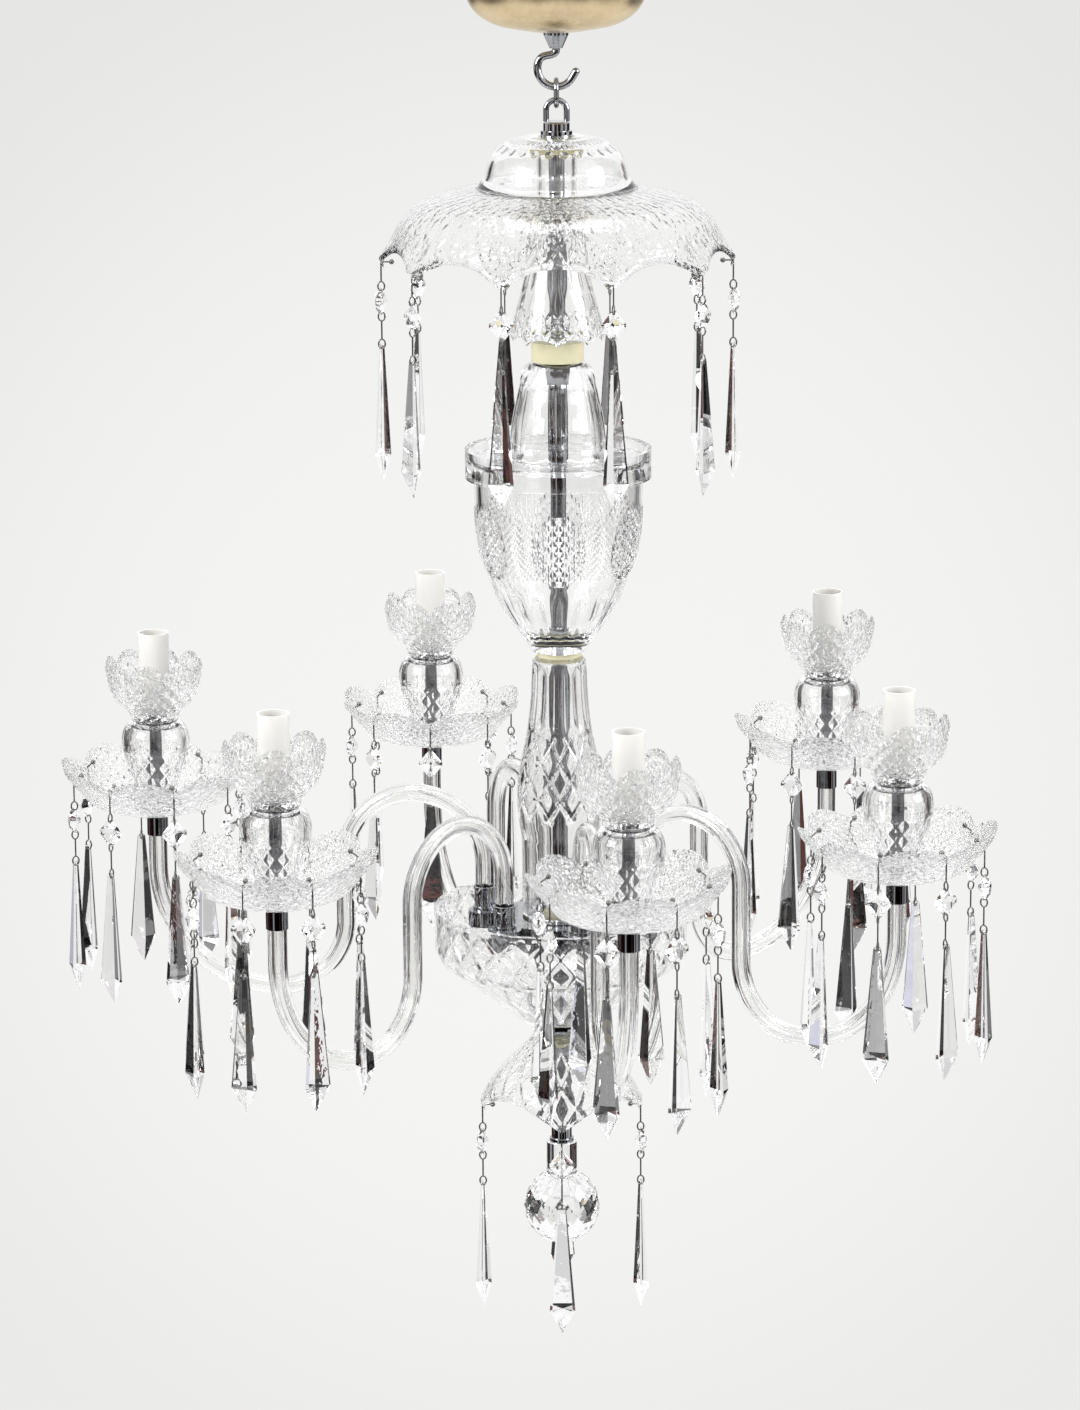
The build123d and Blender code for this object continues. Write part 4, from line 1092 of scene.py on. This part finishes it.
@dataclass
class Drops:
    """Every hanging pair: buttons and spears of crystal on bent wire."""

    setting: SettingOut
    pin_reach: float = 3.75
    head_reach: float = 4.25
    head_radius: float = 2.0
    wire_radius: float = 0.6
    wire_sides: int = 8
    eye_radius: float = 3.5
    eye_width: float = 2.5
    eye_steps: int = 20
    button_size: tuple[float, float, float] = (19.0, 22.0, 9.0)
    spear_size: tuple[float, float, float] = (20.0, 104.0, 12.0)
    spear_point: float = 19.0
    spear_front: float = 0.8
    spear_bevel: float = 0.1
    hole_to_button: float = 22.0
    button_span: float = 16.0
    button_to_spear: float = 28.0
    spear_over: float = 3.5

    def elbow(self, tier: Tier) -> Point:
        """Where the pin bends down, as its outward distance and height from the hole."""
        tilt = math.radians(tier.value[2])
        return self.pin_reach * math.cos(tilt), -self.pin_reach * math.sin(tilt)

    def button_skin(self, z: float, y: float) -> Skin:
        """Lozenge with a girdle, a broad table in front and a keen cut back."""
        width, length, depth = self.button_size
        clip = width / 12
        girdle = [(width / 2, clip), (clip, length / 2), (-clip, length / 2),
                  (-width / 2, clip), (-width / 2, -clip), (-clip, -length / 2),
                  (clip, -length / 2), (width / 2, -clip)]
        points: list[tuple[float, float, float]] = []
        for share, side in ((0.12, -0.5), (1.0, -0.03), (1.0, 0.03), (0.5, 0.5)):
            points += [(x * share, y + side * depth, z + h * share) for x, h in girdle]
        ends: list[tuple[int, ...]] = [tuple(range(8)), tuple(range(31, 23, -1))]
        return np.array(points), ends + ringed(8, 3, False)

    def spear_skin(self, z: float, y: float) -> Skin:
        """Long spear with a flat front, bevelled sides and a ridge down its back."""
        width, length, depth = self.spear_size
        tip = self.spear_over - length
        points: list[tuple[float, float, float]] = []
        for w, h in ((0.8, tip), (width, tip + self.spear_point),
                     (6.0, self.spear_over - 1.2), (4.4, self.spear_over)):
            half, face, deep = w / 2, w * self.spear_front / 2, w * depth / width / 2
            side = deep - w * self.spear_bevel
            points += [(x, y + d, z + h) for x, d in
                       ((half, side), (face, deep), (-face, deep), (-half, side), (0, -deep))]
        ends: list[tuple[int, ...]] = [tuple(range(4, -1, -1)), tuple(range(15, 20))]
        return np.array(points), ends + ringed(5, 3, True)

    def crystals(self, tier: Tier) -> bpy.types.Object:
        """Template of one drop's two crystals, hung from a pin hole at the origin."""
        out, down = self.elbow(tier)
        button_z = down - self.hole_to_button - self.button_span / 2
        spear_z = button_z - self.button_span / 2 - self.button_to_spear
        skin = joined([self.button_skin(button_z, out), self.spear_skin(spear_z, out)])
        return mesh_object("crystals_" + tier.name.lower(), *skin, None)

    def wires(self, tier: Tier) -> bpy.types.Object:
        """Template of one drop's headed pin, eyes and joining wire."""
        out, down = self.elbow(tier)
        tilt = math.radians(tier.value[2])
        unit = np.array((0.0, math.cos(tilt), -math.sin(tilt)))
        head = -unit * self.head_reach
        eye_z = down - self.hole_to_button + self.eye_radius
        bend = [head, unit * 0.0, np.array((0.0, out, down)) * 0.9]
        bend += [np.array((0.0, out, down - d)) for d in (0.5, 2.0)]
        bend += [np.array((0.0, out, z))
                 for z in np.linspace(down - 4, eye_z + self.eye_radius, 4)]
        parts = [ball_skin(head, self.head_radius, 8, 12),
                 swept_tube(np.array(bend), self.wire_radius, self.wire_sides)]
        upper = down - self.hole_to_button - self.button_span - self.eye_radius
        lower = upper - self.button_to_spear + 2 * self.eye_radius
        turn = np.arange(self.eye_steps) * TAU / self.eye_steps
        for z in (eye_z, upper, lower):
            ring = np.stack([0 * turn, out + self.eye_width * np.cos(turn),
                             z + self.eye_radius * np.sin(turn)], 1)
            parts.append(swept_tube(ring, self.wire_radius, self.wire_sides, True))
        rod = np.array([(0.0, out, z) for z in
                        np.linspace(upper - self.eye_radius, lower + self.eye_radius, 3)])
        parts.append(swept_tube(rod, self.wire_radius, self.wire_sides))
        return mesh_object("wires_" + tier.name.lower(), *joined(parts), 40)

    def places(self, joint: dict[str, Any], tier: Tier) -> list[Place]:
        """Where the two drops of a hinged pair hang.

        Args:
            joint: The pair's hinge from the record.
            tier: What the pair hangs from.

        Returns:
            Two places that face outwards.
        """
        x, y, z = (value / MM for value in joint["pos_m"])
        outward = math.atan2(joint["axis"][0], -joint["axis"][1])
        spread = math.radians(tier.value[1])
        half = tier.value[0] * math.sin(spread)
        return [Place(x - side * half * math.sin(outward), y + side * half * math.cos(outward),
                      z, outward + side * spread - math.pi / 2) for side in (-1, 1)]

    def build(self, record: dict[str, Any]) -> None:
        """Hang every pair on its own body."""
        shapes = {tier: (self.crystals(tier), self.wires(tier)) for tier in Tier}
        for joint in record["behaviour"]["joints"]:
            body = joint["child"]
            tier = Tier.__members__.get(body.split("_")[0].upper())
            if not tier:
                continue
            places = self.places(joint, tier)
            for shape, label, finish in zip(shapes[tier], ("crystal", "wire"), (PRISM, WIRE)):
                made = self.setting.set_out(f"{body}_{label}", shape, places, finish)
                finish_piece(made, finish, body, body)
        for pair in shapes.values():
            for template in pair:
                bpy.data.objects.remove(template)


@dataclass
class CarriedOver:
    """CAD pieces whose shape is right as it stands, given their real finish."""

    nodes: dict[str, Any]
    finishes: dict[str, Finish] = field(default_factory=lambda: {
        "ceiling_strap": ZINC, "ceiling_cover": BRASS, "cone_nut": CHROME, "ceiling_hook": CHROME,
        "hanging_link": CHROME, "top_bail": CHROME, "centre_tube": CHROME, "seat_washers": WASHER,
        "tube_nuts": CHROME, "crown_spacer": SPACER, "arm_plate": CHROME, "tail_column": CHROME,
        "arm_ferrules": CHROME, "candle_fittings": DARK_NICKEL, "candle_sleeves": SLEEVE,
        "lamp_holders": HOLDER})

    def dress(self) -> None:
        """Give each carried-over piece its finish."""
        for name, finish in self.finishes.items():
            piece = self.nodes[name]
            for slot in piece.material_slots:
                slot.material = finish.material()
            LOG.info("%s carried over in %s", name, finish.name)


def mirrored(tree: Tree, path: bpy.types.Node) -> Socket:
    """One for what glass and metal show, nothing for the rest."""
    return reckon(tree, "MAXIMUM", path.outputs["Is Glossy Ray"],
                  path.outputs["Is Transmission Ray"])


def mixed(tree: Tree, share: Socket, first: bpy.types.Node,
          second: bpy.types.Node) -> bpy.types.Node:
    """Mix Shader node between two shaders."""
    return add_node(tree, "ShaderNodeMixShader", {
        0: share, 1: first.outputs[0], 2: second.outputs[0]})


@dataclass
class Studio:
    """Pale floor, soft lights, a studio round them and the camera."""

    floor_level: float = -1.75
    floor_half: float = 60.0
    eye: tuple[float, float, float] = (0.0, -3.815, 0.335)
    pitch: float = 13.136
    yaw: float = 0.225
    roll: float = -0.35
    lens: float = 129.9
    pale: str = "#F7F7F6"
    dim: str = "#E9E9E7"
    pool_edge: float = 0.986
    backdrop_strength: float = 0.95
    floor_glow: float = 0.9
    paper_spread: float = 2.2
    clutter: float = 5.5
    photographer: tuple[float, float, float] = (0.0, -0.96, -0.28)
    belt_level: float = -0.19
    lights: tuple[tuple[str, tuple[float, float, float], float, float], ...] = (
        ("left_softbox", (-2.6, -1.6, 0.9), 1.6, 60),
        ("right_softbox", (2.8, -1.0, 0.6), 1.6, 44),
        ("top_softbox", (0.0, 0.4, 2.6), 1.8, 52))
    bounces: int = 28
    glossy_bounces: int = 16

    def camera(self) -> None:
        """Camera where the photograph was taken from."""
        data = bpy.data.cameras.new("camera")
        data.lens, data.sensor_width, data.sensor_fit = self.lens, 36.0, "AUTO"
        data.clip_end = 100.0
        made = put("camera", data)
        turn = (Matrix.Rotation(math.radians(self.yaw), 4, "Z")
                @ Matrix.Rotation(math.radians(90 - self.pitch), 4, "X")
                @ Matrix.Rotation(math.radians(self.roll), 4, "Z"))
        made.matrix_world = Matrix.Translation(self.eye) @ turn
        bpy.context.scene.camera = made

    def pool(self, tree: Tree, ray: Socket) -> Socket:
        """Soft pool of light on the backdrop, paler in its middle.

        Args:
            tree: The tree to add it to.
            ray: Unit vector from the photographer's place to the backdrop.

        Returns:
            The backdrop's colour.
        """
        aim = Vector((0.0, 1.0, 0.0))
        aim.rotate(Euler((math.radians(-self.pitch), 0.0, math.radians(self.yaw))))
        share = ranged(tree, facing(tree, ray, tuple(aim)), self.pool_edge, 1.0,
                       kind="SMOOTHSTEP")
        return blend(tree, share, linear(self.dim), linear(self.pale))

    def room(self, tree: Tree, ray: Socket) -> Socket:
        """White room broken by small dark, brown and tinted things.

        The things fill the cells of a pattern of directions. They are fewer far above and
        below a belt just under the level of the eye, and in some areas than in others.
        What lies straight behind the glass from the front is plain white.

        Args:
            tree: The tree to add it to.
            ray: Direction in which glass or metal looks.

        Returns:
            The colour seen there.
        """
        cells = add_node(tree, "ShaderNodeTexVoronoi", {
            "Scale": self.clutter, "Randomness": 1.0, "Vector": ray})
        parts = add_node(tree, "ShaderNodeSeparateColor", {"Color": cells.outputs["Color"]})
        darker = ranged(tree, facing(tree, ray, self.photographer), 0.30, 0.90, 0.8, 0.72)
        depth = add_node(tree, "ShaderNodeSeparateXYZ", {"Vector": ray}).outputs
        away = reckon(tree, "ABSOLUTE", reckon(tree, "ADD", depth["Z"], -self.belt_level))
        ceiling = ranged(tree, away, 0.24, 0.44, 0.0, 0.65)
        areas = add_node(tree, "ShaderNodeTexNoise", {
            "Scale": 1.7, "Detail": 0.0, "Vector": ray}).outputs["Fac"]
        walls = ranged(tree, areas, 0.35, 0.65, -0.32, 0.30)
        share = reckon(tree, "MULTIPLY_ADD", parts.outputs["Red"], darker,
                       reckon(tree, "ADD", ceiling, walls))
        ramp = add_node(tree, "ShaderNodeValToRGB", {"Fac": share})
        ramp.color_ramp.interpolation = "CONSTANT"
        stops = ramp.color_ramp.elements
        stops.remove(stops[1])
        stops[0].color = linear("#101010")
        for position, colour in ((0.26, "#55332D"), (0.33, "#3A3A3B"), (0.37, "#8C8C8D"),
                                 (0.40, "#DCDDEC"), (0.41, "#DDD2BA"), (0.43, "#F9F9F8"),
                                 (0.82, "#DADADA"), (0.88, "#FFFFFF")):
            stops.new(position).color = linear(colour)
        seen = ranged(tree, depth["Y"], 0.93, 0.86)
        return blend(tree, seen, linear("#FFFFFF"), ramp.outputs["Color"])

    def world(self) -> None:
        """Pale studio for the camera, and the room round it for what glass and metal show."""
        world = bpy.data.worlds.new("studio")
        bpy.context.scene.world = world
        world.use_nodes = True
        tree = world.node_tree
        tree.nodes.clear()
        ray = add_node(tree, "ShaderNodeTexCoord").outputs["Generated"]
        plain = add_node(tree, "ShaderNodeBackground", {
            "Strength": self.backdrop_strength, "Color": self.pool(tree, ray)})
        shown = add_node(tree, "ShaderNodeBackground", {
            "Strength": 1.0, "Color": self.room(tree, ray)})
        shiny = mirrored(tree, add_node(tree, "ShaderNodeLightPath"))
        both = mixed(tree, shiny, plain, shown)
        add_node(tree, "ShaderNodeOutputWorld", {"Surface": both.outputs[0]})

    def floor(self) -> None:
        """Wide pale floor that keeps its tone for the camera.

        For glass and metal it ends in front, and from below it is not there.
        """
        half = self.floor_half
        mesh = bpy.data.meshes.new("studio_floor")
        mesh.from_pydata([(x * half, y * half, self.floor_level) for x, y in
                          ((-1, -1), (1, -1), (1, 1), (-1, 1))], [], [(0, 1, 2, 3)])
        made = put("studio_floor", mesh)
        paint = bpy.data.materials.new("pale_studio_paper")
        paint.use_nodes = True
        tree = paint.node_tree
        tree.nodes.clear()
        path = add_node(tree, "ShaderNodeLightPath")
        shiny = mirrored(tree, path)
        lit = reckon(tree, "MAXIMUM", shiny, path.outputs["Is Camera Ray"])
        place = add_node(tree, "ShaderNodeTexCoord").outputs["Object"]
        away = add_node(tree, "ShaderNodeVectorMath", {
            "operation": "SUBTRACT", 0: place, 1: self.eye})
        ray = add_node(tree, "ShaderNodeVectorMath", {
            "operation": "NORMALIZE", 0: away.outputs["Vector"]})
        paper = add_node(tree, "ShaderNodeBsdfDiffuse", {"Color": linear("#E4E4E2")})
        glow = add_node(tree, "ShaderNodeEmission", {
            "Strength": 1.0, "Color": self.pool(tree, ray.outputs["Vector"])})
        mix = mixed(tree, reckon(tree, "MULTIPLY", lit, self.floor_glow), paper, glow)
        parts = add_node(tree, "ShaderNodeSeparateXYZ", {"Vector": place}).outputs
        edge = reckon(tree, "MULTIPLY", reckon(tree, "ABSOLUTE", parts["X"]),
                      self.paper_spread)
        front = reckon(tree, "LESS_THAN", parts["Y"], edge)
        under = add_node(tree, "ShaderNodeNewGeometry").outputs["Backfacing"]
        gone = reckon(tree, "MAXIMUM", reckon(tree, "MULTIPLY", shiny, front), under)
        whole = mixed(tree, gone, mix, add_node(tree, "ShaderNodeBsdfTransparent"))
        add_node(tree, "ShaderNodeOutputMaterial", {"Surface": whole.outputs[0]})
        mesh.materials.append(paint)

    def softbox(self, name: str, place: tuple[float, float, float], size: float,
                power: float) -> None:
        """One square soft light aimed at the middle of the chandelier."""
        data = bpy.data.lights.new(name, "AREA")
        data.size, data.energy = size, power
        made = put(name, data)
        made.location = place
        aim = Vector((0, 0, -0.5)) - Vector(place)
        made.rotation_euler = aim.to_track_quat("-Z", "Y").to_euler()

    def light_paths(self) -> None:
        """Follow light through many faces of cut crystal, which go black if it is cut short."""
        paths = bpy.context.scene.cycles
        paths.max_bounces = paths.transmission_bounces = self.bounces
        paths.glossy_bounces = self.glossy_bounces

    def build(self) -> None:
        """Set up the whole studio."""
        self.camera()
        self.world()
        self.floor()
        for light in self.lights:
            self.softbox(*light)
        bpy.context.scene.view_settings.view_transform = "Standard"
        self.light_paths()


def main() -> None:
    """Build the chandelier's looks in order, from the ceiling down."""
    logging.basicConfig(level=logging.INFO, format="%(message)s")
    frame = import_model()
    record = frame["record"]
    CarriedOver(frame["nodes"]).dress()
    CrownTier().build()
    Stem().build()
    HubAndTail().build()
    setting = SettingOut()
    CandleTier(setting).build(record)
    Drops(setting).build(record)
    Studio().build()
    bpy.context.view_layer.update()


if __name__ == "__main__":
    main()
